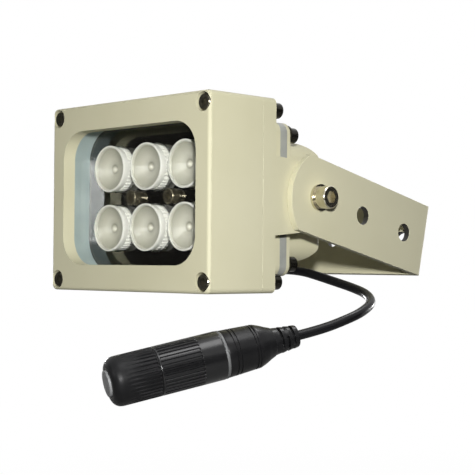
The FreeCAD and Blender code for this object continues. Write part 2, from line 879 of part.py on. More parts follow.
def seal_ring(drawing, shrink):
    """The seal's path on the joint face, less a clearance on both sides of the ring."""
    for edge in (given.seal_inset + shrink, given.seal_inset + given.seal_width - shrink):
        rounded_box(drawing, given.housing_width - edge * 2, given.housing_height - edge * 2,
                    given.seal_corner - (edge - given.seal_inset), middle)


def make_housing_seal():
    """A rubber ring in the groove of the rear cover."""
    body = new_body("housing_seal")
    slab(body, "ring", given.housing_depth, given.seal_depth,
         lambda drawing: seal_ring(drawing, given.seal_clearance))
    seat_in_lamp(body)
    return body


def make_driver_gasket():
    """A thick silicone frame between the rim and the driver cover."""
    body = new_body("driver_gasket")

    def draw(drawing):
        rounded_box(drawing, driver_width, driver_height, given.driver_corner, rim_middle)
        rounded_box(drawing, rim_width - given.rim_wall_across * 2,
                    rim_height - given.rim_wall_up * 2, given.rim_hollow_corner, rim_middle)
        four_rim_screws(drawing, screw_hole)

    slab(body, "frame", rim_end, given.driver_gasket_thickness, draw)
    seat_in_lamp(body)
    return body


def bulge_solid(body, front, inset):
    """The cover's bulge, or the hollow in it one wall further in: a soft box with a rounded nose."""
    height = bulge_height - inset * 2
    end = bulge_end - inset
    slab(body, "box", front, end - front,
         lambda drawing: rounded_box(drawing, bulge_width - inset * 2, height,
                                     given.bulge_corner - inset, bulge_middle))
    radius = given.bulge_nose_radius - inset
    start = bulge_nose_start
    past = end + overrun
    drop = radius - root(radius * radius - (past - start) * (past - start))
    for name, level in (("upper_nose", 1), ("lower_nose", -1)):
        drawing = new_drawing(body, name, "YZ_Plane", -(bulge_width / 2))
        flat = bulge_middle + height / 2 * level
        beyond = flat + overrun * level
        hub = flat - radius * level
        nose_scrap(drawing, start, past, flat, beyond, hub, drop, radius, level)
        pocket(body, drawing, bulge_width, backwards=True)


def nose_scrap(drawing, start, past, flat, beyond, hub, drop, radius, level):
    """What is cut away over the nose: an arc that leaves the flat side, closed outside the solid."""
    points = [Vector(start.value, flat.value, 0), Vector(start.value, beyond.value, 0),
              Vector(past.value, beyond.value, 0), Vector(past.value, flat.value - drop.value * level, 0)]
    lines = [drawing.addGeometry(Part.LineSegment(points[place], points[place + 1]), False)
             for place in range(3)]
    centre = Vector(start.value, hub.value, 0)
    circle = Part.Circle(centre, Vector(0, 0, 1), radius.value)
    last = points[3] - centre
    swing = math.atan2(last.y, last.x)
    if level > 0:
        curve = drawing.addGeometry(Part.ArcOfCircle(circle, swing, math.pi / 2), False)
        near, far = 2, 1
    else:
        curve = drawing.addGeometry(Part.ArcOfCircle(circle, -math.pi / 2, swing), False)
        near, far = 1, 2
    drawing.addConstraint(Sketcher.Constraint("Coincident", lines[0], 2, lines[1], 1))
    drawing.addConstraint(Sketcher.Constraint("Coincident", lines[1], 2, lines[2], 1))
    drawing.addConstraint(Sketcher.Constraint("Coincident", lines[2], 2, curve, far))
    drawing.addConstraint(Sketcher.Constraint("Coincident", curve, near, lines[0], 1))
    pin_point(drawing, lines[0], 2, start, beyond)
    pin_point(drawing, lines[1], 2, past, beyond)
    pin_point(drawing, curve, 3, start, hub)
    bind(drawing, Sketcher.Constraint("Radius", curve, radius.value), radius)
    drawing.addConstraint(Sketcher.Constraint("Vertical", lines[0]))
    drawing.addConstraint(Sketcher.Constraint("Vertical", lines[2]))


def make_driver_cover():
    """The cast driver cover: screw flange and bulge outside, one wall thick all round."""
    skin = new_body("driver_cover_skin")
    bulge_solid(skin, flange_front, front_plane)
    nose = bulge_end
    round_edges(skin, "nose_edge", given.bulge_edge,
                lambda edge: all_points(edge, lambda point: close(point.y, nose.value)))
    slab(skin, "flange", flange_front, given.driver_flange,
         lambda drawing: rounded_box(drawing, driver_width, driver_height,
                                     given.driver_corner, rim_middle))
    sink(skin, "screw_holes", flange_front, given.driver_flange + overrun,
         lambda drawing: four_rim_screws(drawing, screw_hole))
    drawing = new_drawing(skin, "boot_hole", "XY_Plane", bulge_middle - bulge_height / 2 - overrun)
    ring_line(drawing, given.boot_across, boot_depth, given.boot_radius + given.boot_clearance)
    pocket(skin, drawing, given.bulge_wall * 2 + overrun, backwards=True)
    core = new_body("driver_cover_core")
    bulge_solid(core, flange_front, given.bulge_wall)
    cover = document.addObject("Part::Cut", "driver_cover")
    cover.Label = "driver_cover"
    cover.Base = skin
    cover.Tool = core
    document.recompute()
    seat_in_lamp(cover)
    return cover


def make_driver_circuit():
    """The driver board on its posts with an inductor, two capacitors and a terminal block."""
    board = new_body("driver_board")
    level = driver_board_level

    def draw(drawing):
        wide = driver_board_width / 2
        tall = driver_board_height / 2
        outline(drawing, [(-wide, bulge_middle - tall), (wide, bulge_middle - tall),
                          (wide, bulge_middle + tall), (-wide, bulge_middle + tall)])
        driver_posts(drawing, given.small_screw_radius + given.hole_clearance)

    slab(board, "board", level, given.board_thickness, draw)
    seat_in_lamp(board)
    inductor = new_body("driver_inductor")
    wide = given.inductor_width / 2
    outward = wide + given.inductor_margin - driver_board_width / 2
    slab(inductor, "block", driver_board_end, given.inductor_thickness,
         lambda drawing: outline(drawing, [
             (outward - wide, bulge_middle - wide), (outward + wide, bulge_middle - wide),
             (outward + wide, bulge_middle + wide), (outward - wide, bulge_middle + wide)]))
    sink(inductor, "core_mark", driver_board_end + given.inductor_thickness - overrun, overrun * 2,
         lambda drawing: ring_line(drawing, outward, bulge_middle, given.inductor_core_radius))
    seat_in_lamp(inductor)
    terminal = new_body("terminal_block")
    far = driver_board_width / 2 - given.driver_post_inset * 2 - given.small_head_radius
    near = far - given.terminal_height
    tall = given.terminal_length / 2
    slab(terminal, "block", driver_board_end, given.terminal_thickness,
         lambda drawing: outline(drawing, [
             (near, bulge_middle - tall), (far, bulge_middle - tall),
             (far, bulge_middle + tall), (near, bulge_middle + tall)]))
    seat_in_lamp(terminal)
    can = new_body("capacitor_master")
    slab(can, "can", front_plane, given.capacitor_length,
         lambda drawing: ring_line(drawing, 0, 0, given.capacitor_radius))
    beside = near - given.capacitor_gap - given.capacitor_radius
    half = given.capacitor_spacing / 2
    cans = copies("driver_capacitors", can, [
        (beside, driver_board_end, bulge_middle + half, 0),
        (beside, driver_board_end, bulge_middle - half, 0)])
    screw = new_body("driver_screw_master")
    turned(screw, "profile", [
        (0, -given.small_head_height),
        (given.small_head_radius, -given.small_head_height, given.small_head_height * 0.8),
        (given.small_head_radius, 0), (given.small_screw_radius, 0),
        (given.small_screw_radius, given.driver_screw_length), (0, given.driver_screw_length)])
    across = driver_board_width / 2 - given.driver_post_inset
    rise = driver_board_height / 2 - given.driver_post_inset
    screws = copies("driver_screws", screw, [
        (across * side, driver_board_end, bulge_middle + rise * up, 180) for side, up in LAMP_CORNERS])
    lead = new_body("lead_master")
    run = level - pad_front
    slab(lead, "lead", front_plane, run, lambda drawing: ring_line(drawing, 0, 0, given.wire_radius))
    leads = copies("lamp_leads", lead, [
        (given.wire_spacing / 2 * side, pad_front, middle, 0) for side in (-1, 1)])
    return [board, inductor, cans, terminal, screws, leads]


def make_body_fasteners():
    """Black cap screws of the housing, with lock and flat washers where they show at the rear."""
    front = cap_screw("front_screw_master", given.screw_radius, given.front_screw_length,
                      given.screw_head_radius, given.screw_head_height,
                      given.screw_socket, given.screw_socket_depth)
    rear = cap_screw("rear_screw_master", given.screw_radius,
                     washer_stack + given.cover_plate + given.post_thread_depth - overrun,
                     given.screw_head_radius, given.screw_head_height,
                     given.screw_socket, given.screw_socket_depth)
    cover = cap_screw("cover_screw_master", given.screw_radius, given.cover_screw_length,
                      given.screw_head_radius, given.screw_head_height,
                      given.screw_socket, given.screw_socket_depth)
    lock = washer("lock_washer_master", screw_hole, given.lock_washer_radius, given.lock_washer_thickness)
    flat = washer("flat_washer_master", screw_hole, given.flat_washer_radius, given.flat_washer_thickness)
    posts = [(post_across * side, middle + post_up * up) for side, up in LAMP_CORNERS]
    rims = [(driver_screw_across * side, rim_middle + driver_screw_up * up)
            for side, up in LAMP_CORNERS]
    flat_up = given.flat_washer_thickness
    return [
        copies("front_screws", front, [(x, counterbore_depth, z, 0) for x, z in posts]),
        copies("rear_flat_washers", flat, [(x, rear_face, z, 0) for x, z in posts]),
        copies("rear_lock_washers", lock, [(x, rear_face + flat_up, z, 0) for x, z in posts]),
        copies("rear_screws", rear, [(x, rear_face + washer_stack, z, 180) for x, z in posts]),
        copies("cover_flat_washers", flat, [(x, flange_end, z, 0) for x, z in rims]),
        copies("cover_lock_washers", lock, [(x, flange_end + flat_up, z, 0) for x, z in rims]),
        copies("cover_screws", cover, [(x, flange_end + washer_stack, z, 180) for x, z in rims]),
    ]


def make_bracket():
    """The wall bracket: one strip folded to a U, arms ahead to the pivot, web flat on the wall."""
    body = new_body("mounting_bracket")
    plate = given.bracket_plate
    drawing = new_drawing(body, "side", "YZ_Plane", -arm_outside)
    arm_outline(drawing)
    ring_line(drawing, -given.bracket_reach, 0, given.pivot_radius + given.pivot_clearance)
    for behind in (given.arm_hole_near, given.arm_hole_far):
        ring_line(drawing, behind - given.bracket_reach, 0, given.arm_hole_radius)
    pad(body, drawing, arm_outside * 2)
    drawing = new_drawing(body, "inside", "XY_Plane", -(given.bracket_height / 2) - overrun)
    front = -(given.bracket_reach + given.arm_end_reach + overrun)
    outline(drawing, [(-arm_inside, front), (arm_inside, front),
                      (arm_inside, -plate, given.bracket_bend), (-arm_inside, -plate, given.bracket_bend)])
    pocket(body, drawing, given.bracket_height + overrun * 2, backwards=True)
    round_edges(body, "fold", given.bracket_fold,
                lambda edge: all_points(edge, lambda point: close(point.y, 0)
                                        and close(abs(point.x), arm_outside.value)))
    drawing = new_drawing(body, "web_holes", "XZ_Plane")
    ring_line(drawing, 0, 0, given.web_centre_radius)
    for side in (-1, 1):
        ring_line(drawing, web_hole_offset * side, 0, given.web_hole_radius)
    pocket(body, drawing, plate + overrun, backwards=True)
    body.Placement = Placement(Vector(), Rotation(Vector(-1, 0, 0), given.bracket_tilt.value))
    body.setExpression("Placement.Rotation.Angle", "Sizes.bracket_tilt")
    return body


def arm_outline(drawing):
    """An arm from the side: straight edges from the wall face, and a shallow arc at the pivot end."""
    half = given.bracket_height / 2
    hub = -(given.bracket_reach + given.arm_end_reach - given.arm_end_radius)
    back = root(given.arm_end_radius * given.arm_end_radius - half * half)
    reach = hub.value - back.value
    high = Vector(reach, half.value, 0)
    low = Vector(reach, -half.value, 0)
    wall_high = Vector(0, half.value, 0)
    wall_low = Vector(0, -half.value, 0)
    top = drawing.addGeometry(Part.LineSegment(wall_high, high), False)
    centre = Vector(hub.value, 0, 0)
    circle = Part.Circle(centre, Vector(0, 0, 1), given.arm_end_radius.value)
    swing = math.atan2(half.value, -back.value)
    end = drawing.addGeometry(Part.ArcOfCircle(circle, swing, 2 * math.pi - swing), False)
    bottom = drawing.addGeometry(Part.LineSegment(low, wall_low), False)
    wall = drawing.addGeometry(Part.LineSegment(wall_low, wall_high), False)
    for left, right in ((top, end), (end, bottom), (bottom, wall), (wall, top)):
        drawing.addConstraint(Sketcher.Constraint("Coincident", left, 2, right, 1))
    pin_point(drawing, top, 1, 0, half)
    pin_point(drawing, wall, 1, 0, -half)
    drawing.addConstraint(Sketcher.Constraint("Horizontal", top))
    drawing.addConstraint(Sketcher.Constraint("Horizontal", bottom))
    pin_point(drawing, end, 3, hub, 0)
    bind(drawing, Sketcher.Constraint("Radius", end, given.arm_end_radius.value), given.arm_end_radius)


def make_pivots():
    """Stainless cap screws and washers that clamp the arms to the ears."""
    screw = cap_screw("pivot_screw_master", given.pivot_radius, given.pivot_screw_length,
                      given.pivot_head_radius, given.pivot_head_height,
                      given.pivot_socket, given.pivot_socket_depth)
    ring = washer("pivot_washer_master", given.pivot_radius + given.pivot_clearance,
                  given.pivot_washer_radius, given.pivot_washer_thickness)
    face = arm_outside + given.pivot_washer_gap
    under = face + given.pivot_washer_thickness
    place = (pivot_depth, pivot_level)
    return [
        copies("pivot_screws", screw, [(under,) + place + (90,), (-under,) + place + (-90,)]),
        copies("pivot_washers", ring, [(under,) + place + (90,), (-under,) + place + (-90,)]),
    ]


def make_boot():
    """The rubber elbow that seals the cable's way out of the driver cover's underside."""
    body = new_body("cable_boot")
    radius = given.boot_radius
    outside = bulge_bottom - boot_level
    inside = outside + given.bulge_wall
    turned(body, "stub", [
        (0, -radius), (radius, -radius, radius * 0.96), (radius, outside - given.boot_collar_thickness),
        (boot_flange_radius, outside - given.boot_collar_thickness),
        (boot_flange_radius, outside), (radius, outside), (radius, inside),
        (boot_flange_radius, inside), (boot_flange_radius, inside + given.boot_lip_thickness),
        (0, inside + given.boot_lip_thickness)], plane="XZ_Plane")
    turned(body, "arm", [(0, 0), (0, radius), (given.boot_reach, given.boot_tip_radius),
                         (given.boot_reach, 0)], about="H_Axis")
    seat_in_lamp(body, given.boot_across, boot_depth, boot_level)
    return body


def cable_points():
    """The cable's route in the model's frame, from the boot's tip to the plug."""
    lamp = Vector(0, lamp_along.value, lamp_up.value)
    tip = Vector((given.boot_across + given.boot_reach).value, boot_depth.value,
                 boot_level.value)
    return [lamp + tip] + [lamp + Vector(*point) for point in CABLE_ROUTE]


def make_cable():
    """The cable: straight runs joined by tangent arcs, one round section swept along them."""
    points = cable_points()
    radius = given.cable_diameter.value / 2
    runs = [second - first for first, second in zip(points, points[1:])]
    edges = []
    radii = []
    leave = points[0]
    for place in range(1, len(points) - 1):
        before, after = runs[place - 1], runs[place]
        reach = 0.45 * min(before.Length, after.Length)
        turn = before.getAngle(after)
        back = Vector(before).normalize()
        ahead = Vector(after).normalize()
        enter = points[place] - back * reach
        depart = points[place] + ahead * reach
        bend = reach / math.tan(turn / 2)
        inward = (ahead - back).normalize()
        crown = points[place] + inward * (bend / math.cos(turn / 2) - bend)
        edges.append(Part.LineSegment(leave, enter).toShape())
        edges.append(Part.Arc(enter, crown, depart).toShape())
        radii.append(round(bend, 1))
        leave = depart
    edges.append(Part.LineSegment(leave, points[-1]).toShape())
    path = Part.Wire(edges)
    section = Part.Wire(Part.makeCircle(radius, points[0], runs[0]))
    tube = path.makePipeShell([section], True, True)
    expected = math.pi * radius * radius * path.Length
    print("cable bend radii", radii, "length", round(path.Length, 2))
    print("cable volume ratio", round(tube.Volume / expected, 5))
    if abs(tube.Volume / expected - 1) > 0.01:
        raise ValueError("the cable's tube doesn't fill its path")
    cable = document.addObject("Part::Feature", "cable")
    cable.Label = "cable"
    cable.Shape = tube
    return cable


def seat_on_plug(part):
    """Lays a turned piece on the cable's last run; its zero is the cable's end."""
    points = cable_points()
    part.Placement = Placement(points[-1], Rotation(Vector(1, 0, 0), points[-1] - points[-2]))


# Two pairs of fine grooves on the plug's barrel, as shares of its length past the shoulder.
PLUG_GROOVES = (0.06, 0.155, 0.69, 0.81)


def make_plug_body():
    """The moulded plug: grooved strain relief, flared grip and the neck under the sleeve."""
    body = new_body("plug_body")
    start = given.relief_start_radius
    end = given.relief_end_radius
    long = given.relief_length
    grip = long + given.plug_length
    groove = given.relief_groove_width
    corners = [(0, 0), (0, start)]
    for place in (1, 2, 3):
        at = long * (place / 4)
        radius = start + (end - start) * (place / 4)
        corners += [(at - groove / 2, radius), (at - groove / 2, radius - given.relief_groove),
                    (at + groove / 2, radius - given.relief_groove), (at + groove / 2, radius)]
    corners += [(long, end), (long, given.plug_start_radius)]
    shoulder = long + given.plug_shoulder
    barrel = given.plug_length - given.plug_shoulder
    corners.append((shoulder, given.plug_shoulder_radius))
    for place in PLUG_GROOVES:
        at = shoulder + barrel * place
        radius = given.plug_shoulder_radius + (given.plug_end_radius - given.plug_shoulder_radius) * place
        corners += [(at - groove / 2, radius), (at - groove / 2, radius - given.plug_groove),
                    (at + groove / 2, radius - given.plug_groove), (at + groove / 2, radius)]
    neck = given.neck_radius
    corners += [(grip, given.plug_end_radius), (grip, neck), (grip + given.neck_length, neck),
                (grip + given.neck_length, 0)]
    turned(body, "profile", corners, about="H_Axis")
    seat_on_plug(body)
    return body


def tube_piece(name, corners):
    body = new_body(name)
    turned(body, "profile", corners, about="H_Axis")
    seat_on_plug(body)
    return body


def grooves_round(body, start, length, radius):
    """Cuts the grip's flutes: one shallow slot, repeated round the axis."""
    before = body.Shape.Volume
    drawing = new_drawing(body, "flute", "XY_Plane", -(given.sleeve_rib_width / 2))
    low = radius - given.sleeve_rib_depth
    outline(drawing, [(start, low), (start + length, low),
                      (start + length, radius + overrun), (start, radius + overrun)])
    flute = pocket(body, drawing, given.sleeve_rib_width, backwards=True)
    ring = body.newObject("PartDesign::PolarPattern", body.Name + "_flutes")
    ring.Originals = [flute]
    ring.Axis = own_axis(body, "X_Axis")
    ring.Angle = 360
    ring.setExpression("Occurrences", given.sleeve_rib_count.formula)
    body.Tip = ring
    document.recompute()
    if not body.Shape.Volume < before:
        raise ValueError(body.Name + " flutes cut nothing")


def make_connector():
    """Plug, sealing ring, coupling sleeve, gland nut and its seal, insert and contact pins."""
    plug = make_plug_body()
    ring_start = given.relief_length + given.plug_length
    sleeve_start = ring_start + given.ring_width
    nut_start = sleeve_start + given.sleeve_length
    nut_end = nut_start + given.nut_length
    neck_end = ring_start + given.neck_length
    gap = given.thread_clearance
    ring = tube_piece("coupling_o_ring", [
        (ring_start, given.neck_radius + gap), (ring_start, given.ring_radius, given.ring_width / 3),
        (sleeve_start, given.ring_radius, given.ring_width / 3), (sleeve_start, given.neck_radius + gap)])
    outer = given.sleeve_radius
    bore = given.neck_radius + given.sleeve_gap
    sleeve = tube_piece("coupling_sleeve", [
        (sleeve_start, bore), (sleeve_start, outer - given.screw_edge),
        (sleeve_start + given.screw_edge, outer), (nut_start, outer), (nut_start, bore)])
    grooves_round(sleeve, sleeve_start + given.sleeve_smooth, given.sleeve_rib_length, outer)
    lip = given.nut_lip
    nut = tube_piece("gland_nut", [
        (nut_start, given.nut_bore), (nut_start, outer), (nut_start + given.nut_grip_length, outer),
        (nut_end - lip, given.nut_shoulder_radius),
        (nut_end, given.nut_tip_radius, given.screw_edge * 2), (nut_end, given.nut_mouth),
        (nut_end - lip, given.nut_mouth), (nut_end - lip, given.nut_bore)])
    grooves_round(nut, nut_start, given.nut_grip_length, outer)
    seal_tail = nut_end + given.end_seal_proud
    seal_shoulder = given.nut_bore - given.end_seal_gap
    seal_radius = given.nut_mouth - given.end_seal_gap
    seal = tube_piece("end_seal", [
        (nut_end - lip - given.end_seal_length, given.end_seal_bore),
        (nut_end - lip - given.end_seal_length, seal_shoulder),
        (nut_end - lip, seal_shoulder), (nut_end - lip, seal_radius),
        (seal_tail, seal_radius, given.screw_edge), (seal_tail, given.end_seal_bore)])
    insert = tube_piece("contact_insert", [
        (neck_end, 0), (neck_end, given.neck_radius), (neck_end + given.insert_length, given.neck_radius),
        (neck_end + given.insert_length, 0)])
    pins = make_pins(neck_end + given.insert_length)
    return [plug, ring, sleeve, nut, seal, insert, pins]


def make_pins(start):
    """Brass contact pins that stand out of the insert's end."""
    body = new_body("contact_pins")
    drawing = new_drawing(body, "circle", "YZ_Plane", start)
    for place in range(SIZES["pin_count"]):
        turn = as_size(360 * place) / given.pin_count
        ring_line(drawing, given.pin_circle * cosine(turn), given.pin_circle * sine(turn),
                  given.pin_radius)
    pad(body, drawing, given.pin_length)
    seat_on_plug(body)
    return body


def make_all():
    """Every sub-part, in the order in which the lamp is put together."""
    parts = [make_front_housing()]
    parts += make_window_stack()
    parts += make_lamp_board()
    for number, (across, up) in enumerate(lens_places(), 1):
        parts.append(make_lens_holder(number, across, up))
        parts.append(make_lens(number, across, up))
        parts.append(make_emitter(number, across, up))
    parts += [make_rear_cover(), make_housing_seal(), make_driver_gasket(), make_driver_cover()]
    parts += make_driver_circuit()
    parts += make_body_fasteners()
    parts += [make_bracket()] + make_pivots()
    parts += [make_boot(), make_cable()]
    parts += make_connector()
    return parts


def write_all(parts):
    """Refuses a failed object or an invalid solid, then writes each sub-part's file."""
    document.recompute()
    for item in document.Objects:
        if "Invalid" in item.State or "Error" in item.State:
            raise ValueError("%s failed: %s" % (item.Name, item.State))
    for part in parts:
        if part.Shape.isNull() or not part.Shape.isValid():
            raise ValueError(part.Label + " has no valid shape")
    for part in parts:
        part.Shape.exportStep("parts/%s.step" % part.Label)
        box = part.Shape.BoundBox
        print("%-20s %2d solids %9.1f mm3  %7.1f %7.1f %7.1f  to %7.1f %7.1f %7.1f" % (
            part.Label, len(part.Shape.Solids), part.Shape.Volume,
            box.XMin, box.YMin, box.ZMin, box.XMax, box.YMax, box.ZMax))


write_all(make_all())
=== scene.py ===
import math

import bmesh
import bpy
from mathutils import Matrix, Vector


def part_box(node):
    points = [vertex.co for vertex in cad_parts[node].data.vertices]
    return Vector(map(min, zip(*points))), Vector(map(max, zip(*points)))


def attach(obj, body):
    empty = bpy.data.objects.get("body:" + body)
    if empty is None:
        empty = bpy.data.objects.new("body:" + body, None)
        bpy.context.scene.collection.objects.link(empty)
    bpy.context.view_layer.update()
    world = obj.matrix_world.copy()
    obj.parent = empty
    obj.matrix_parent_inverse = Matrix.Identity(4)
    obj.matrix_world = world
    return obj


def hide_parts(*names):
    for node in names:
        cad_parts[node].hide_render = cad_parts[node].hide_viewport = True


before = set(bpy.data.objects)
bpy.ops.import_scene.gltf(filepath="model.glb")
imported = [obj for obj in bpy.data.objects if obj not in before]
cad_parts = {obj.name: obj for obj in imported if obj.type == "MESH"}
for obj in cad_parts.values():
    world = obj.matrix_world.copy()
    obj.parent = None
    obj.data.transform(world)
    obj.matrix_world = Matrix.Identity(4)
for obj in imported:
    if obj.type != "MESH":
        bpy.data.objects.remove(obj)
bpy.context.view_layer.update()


# Camera
# It stands where the photograph was taken: a little below the lamp's middle, to the right of its
# window, behind a long lens.
eye = Vector((0.42935, -0.50028, -0.01163))
bearing, climb, roll = math.radians(45.13), math.radians(1.19), math.radians(0.42)
forward = Vector((-math.sin(bearing) * math.cos(climb), math.cos(bearing) * math.cos(climb),
                  math.sin(climb)))
right = Vector((math.cos(bearing), math.sin(bearing), 0))
over = right.cross(forward)
level = right * math.cos(roll) + over * math.sin(roll)
upright = over * math.cos(roll) - right * math.sin(roll)
view = bpy.data.cameras.new("camera")
view.sensor_width = 36
view.lens = 95.46
view.clip_start = 0.01
camera = bpy.data.objects.new("camera", view)
camera.matrix_world = Matrix.Translation(eye) @ Matrix((level, upright, -forward)).transposed().to_4x4()
bpy.context.scene.collection.objects.link(camera)
bpy.context.scene.camera = camera
bpy.context.scene.view_settings.view_transform = "Standard"


# Cable
# A short black cable with a satin vinyl jacket. It leaves the boot under the driver cover, swings
# out past the bracket and comes back below the lamp with the connector on its end.
MM = 0.001
CABLE_RADIUS = 2
# Places on the lamp are counted from the middle of its housing's lower front edge, taken from the
# frame to a tenth of a micrometre.
low_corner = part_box("front_housing")[0] / MM
LAMP = Vector((0, round(low_corner.y, 4), round(low_corner.z, 4))) * MM


def paint_tone(red, green, blue):
    """A colour as a picture shows it, from 0 to 255, for a shader's socket."""
    return [((part / 255 + 0.055) / 1.055) ** 2.4 if part > 10 else part / 3295
            for part in (red, green, blue)] + [1]


def finish(name, colour, second, patch, rough, spread, grain, depth, **sockets):
    """A material with slow patches between two colours, a fine grain, and roughness that varies
    by spread. patch and grain are the sizes of one patch and one grain, and depth the grain's, in mm."""
    material = bpy.data.materials.new(name)
    material.use_nodes = True
    tree = material.node_tree
    skin = tree.nodes["Principled BSDF"]
    place = tree.nodes.new("ShaderNodeTexCoord")

    def noise(size, detail):
        texture = tree.nodes.new("ShaderNodeTexNoise")
        texture.inputs["Scale"].default_value = 1 / (size * MM)
        texture.inputs["Detail"].default_value = detail
        tree.links.new(place.outputs["Object"], texture.inputs["Vector"])
        return texture.outputs["Fac"]

    patches = noise(patch, 4)
    tones = tree.nodes.new("ShaderNodeValToRGB")
    tones.color_ramp.elements[0].position = 0.3
    tones.color_ramp.elements[0].color = second
    tones.color_ramp.elements[1].position = 0.68
    tones.color_ramp.elements[1].color = colour
    tree.links.new(patches, tones.inputs["Fac"])
    tree.links.new(tones.outputs["Color"], skin.inputs["Base Color"])
    wear = tree.nodes.new("ShaderNodeMapRange")
    wear.inputs["To Min"].default_value = rough - spread
    wear.inputs["To Max"].default_value = rough + spread
    tree.links.new(noise(patch * 0.4, 6), wear.inputs["Value"])
    tree.links.new(wear.outputs["Result"], skin.inputs["Roughness"])
    bump = tree.nodes.new("ShaderNodeBump")
    bump.inputs["Distance"].default_value = depth * MM
    tree.links.new(noise(grain, 3), bump.inputs["Height"])
    tree.links.new(bump.outputs["Normal"], skin.inputs["Normal"])
    for socket, amount in sockets.items():
        skin.inputs[socket.replace("_", " ")].default_value = amount
    return material


JACKET = finish("cable_jacket", paint_tone(19, 19, 21), paint_tone(13, 13, 15), 6, 0.3, 0.08, 0.5, 0.02,
                Specular_IOR_Level=0.15)
CABLE_POINTS = [
    (21, 65, 10.2), (36, 65, 10.2), (45.6, 66.1, 9.5), (53.4, 66.9, 7.7), (62.5, 67.9, 5.3),
    (74, 68.1, 2.5), (84.6, 65.1, -0.1), (93.4, 57.3, -3.5), (96.6, 46.2, -7.1), (96.3, 37, -9.8),
    (92.73, 25.85, -13.56), (88, 16, -16)]
route = [LAMP + Vector(point) * MM for point in CABLE_POINTS]
line = bpy.data.curves.new("power_cable", "CURVE")
line.dimensions = "3D"
line.bevel_depth = CABLE_RADIUS * MM
line.bevel_resolution = 8
line.use_fill_caps = True
spline = line.splines.new("NURBS")
spline.points.add(len(route) - 1)
for knot, point in zip(spline.points, route):
    knot.co = (*point, 1)
spline.order_u = 3
spline.use_endpoint_u = True
spline.resolution_u = 16
line.materials.append(JACKET)
power_cable = bpy.data.objects.new("power_cable", line)
bpy.context.scene.collection.objects.link(power_cable)
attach(power_cable, "lamp")
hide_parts("cable")


# Plug
# The moulded plug on the cable's end, hard black rubber: a strain relief whose slots lie in turn
# above and beside the cable, a flared grip with fine rings, and a neck that the sleeve screws onto.
run = (route[-1] - route[-2]).normalized()
CONNECTOR = Matrix.Translation(route[-1]) @ Vector((1, 0, 0)).rotation_difference(run).to_matrix().to_4x4()


def eased(corners, ease, steps=4):
    """A profile of (along, radius) with every corner rounded by ease, or by its own third value."""
    curve = [Vector(corners[0][:2])]
    for before, corner, after in zip(corners, corners[1:], corners[2:]):
        point = Vector(corner[:2])
        back, ahead = Vector(before[:2]) - point, Vector(after[:2]) - point
        size = corner[2] if len(corner) > 2 else ease
        reach = min(size, back.length * 0.45, ahead.length * 0.45)
        start, end = point + back.normalized() * reach, point + ahead.normalized() * reach
        for step in range(steps + 1):
            share = step / steps
            curve.append(start * (1 - share) ** 2 + point * 2 * share * (1 - share) + end * share ** 2)
    curve.append(Vector(corners[-1][:2]))
    return curve


def turned(name, profile, seat, material, around=96, cut=None, closed=False):
    """A skin turned about the seat's first axis from a profile in mm. cut(along, angle, radius) takes
    its depth off the radius, and a closed profile joins its two ends."""
    mesh = bpy.data.meshes.new(name)
    shell = bmesh.new()
    rings = []
    for along, radius in profile:
        if radius < 1e-4:
            rings.append([shell.verts.new(seat @ (Vector((along, 0, 0)) * MM))])
            continue
        ring = []
        for place in range(around):
            angle = math.tau * place / around
            out = radius - (cut(along, angle, radius) if cut else 0)
            spot = Vector((along, out * math.cos(angle), out * math.sin(angle)))
            ring.append(shell.verts.new(seat @ (spot * MM)))
        rings.append(ring)
    if closed:
        rings.append(rings[0])
    for ring, after in zip(rings, rings[1:]):
        for place in range(around):
            here, there = place, (place + 1) % around
            if len(ring) == 1 and len(after) == 1:
                break
            if len(ring) == 1:
                shell.faces.new((ring[0], after[there], after[here]))
            elif len(after) == 1:
                shell.faces.new((ring[here], ring[there], after[0]))
            else:
                shell.faces.new((ring[here], ring[there], after[there], after[here]))
    bmesh.ops.remove_doubles(shell, verts=shell.verts, dist=1e-7)
    bmesh.ops.recalc_face_normals(shell, faces=shell.faces)
    for face in shell.faces:
        face.smooth = True
    shell.to_mesh(mesh)
    shell.free()
    mesh.set_sharp_from_angle(angle=math.radians(42))
    mesh.materials.append(material)
    piece = bpy.data.objects.new(name, mesh)
    bpy.context.scene.collection.objects.link(piece)
    return piece


def stands_for(piece, node, body):
    """The piece rides on the body in place of a CAD node, which it hides."""
    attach(piece, body)
    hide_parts(node)
    return piece


PLUG_BLACK = finish("plug_black", paint_tone(23, 23, 24), paint_tone(17, 17, 18), 9, 0.3, 0.06, 0.35, 0.02,
                    Specular_IOR_Level=0.17)
CABLE_BORE = CABLE_RADIUS + 0.05
RELIEF_END, RELIEF_RADIUS, RELIEF_FLARE = 10.8, 4.4, 1.2
RELIEF_SLOTS = (2.6, 5.2, 7.8)
SHOULDER, SHOULDER_RADIUS = 18.2, 8.8
PLUG_END, PLUG_RADIUS = 31.3, 9.5
PLUG_RINGS = (19, 20.2, 27.2, 28.8)
SLOT_HALF, SLOT_DEPTH = 0.5, 1.5
FINE_RING_HALF, FINE_RING_DEPTH = 0.26, 0.4
PLUG_FACE = PLUG_END + 0.6
NECK_END, NECK_RADIUS = PLUG_END + 12, 7.9


def plug_cut(along, angle, radius):
    """The relief's slots and the grip's rings. Two bridges close each slot, and they turn a quarter
    from one slot to the next."""
    for number, place in enumerate(RELIEF_SLOTS):
        if abs(along - place) < SLOT_HALF:
            bridge = abs(math.sin(angle + number * math.pi / 2 + 0.6))
            return SLOT_DEPTH * min(1, max(0, (bridge - 0.3) * 6))
    return FINE_RING_DEPTH if any(abs(along - place) < FINE_RING_HALF for place in PLUG_RINGS) else 0


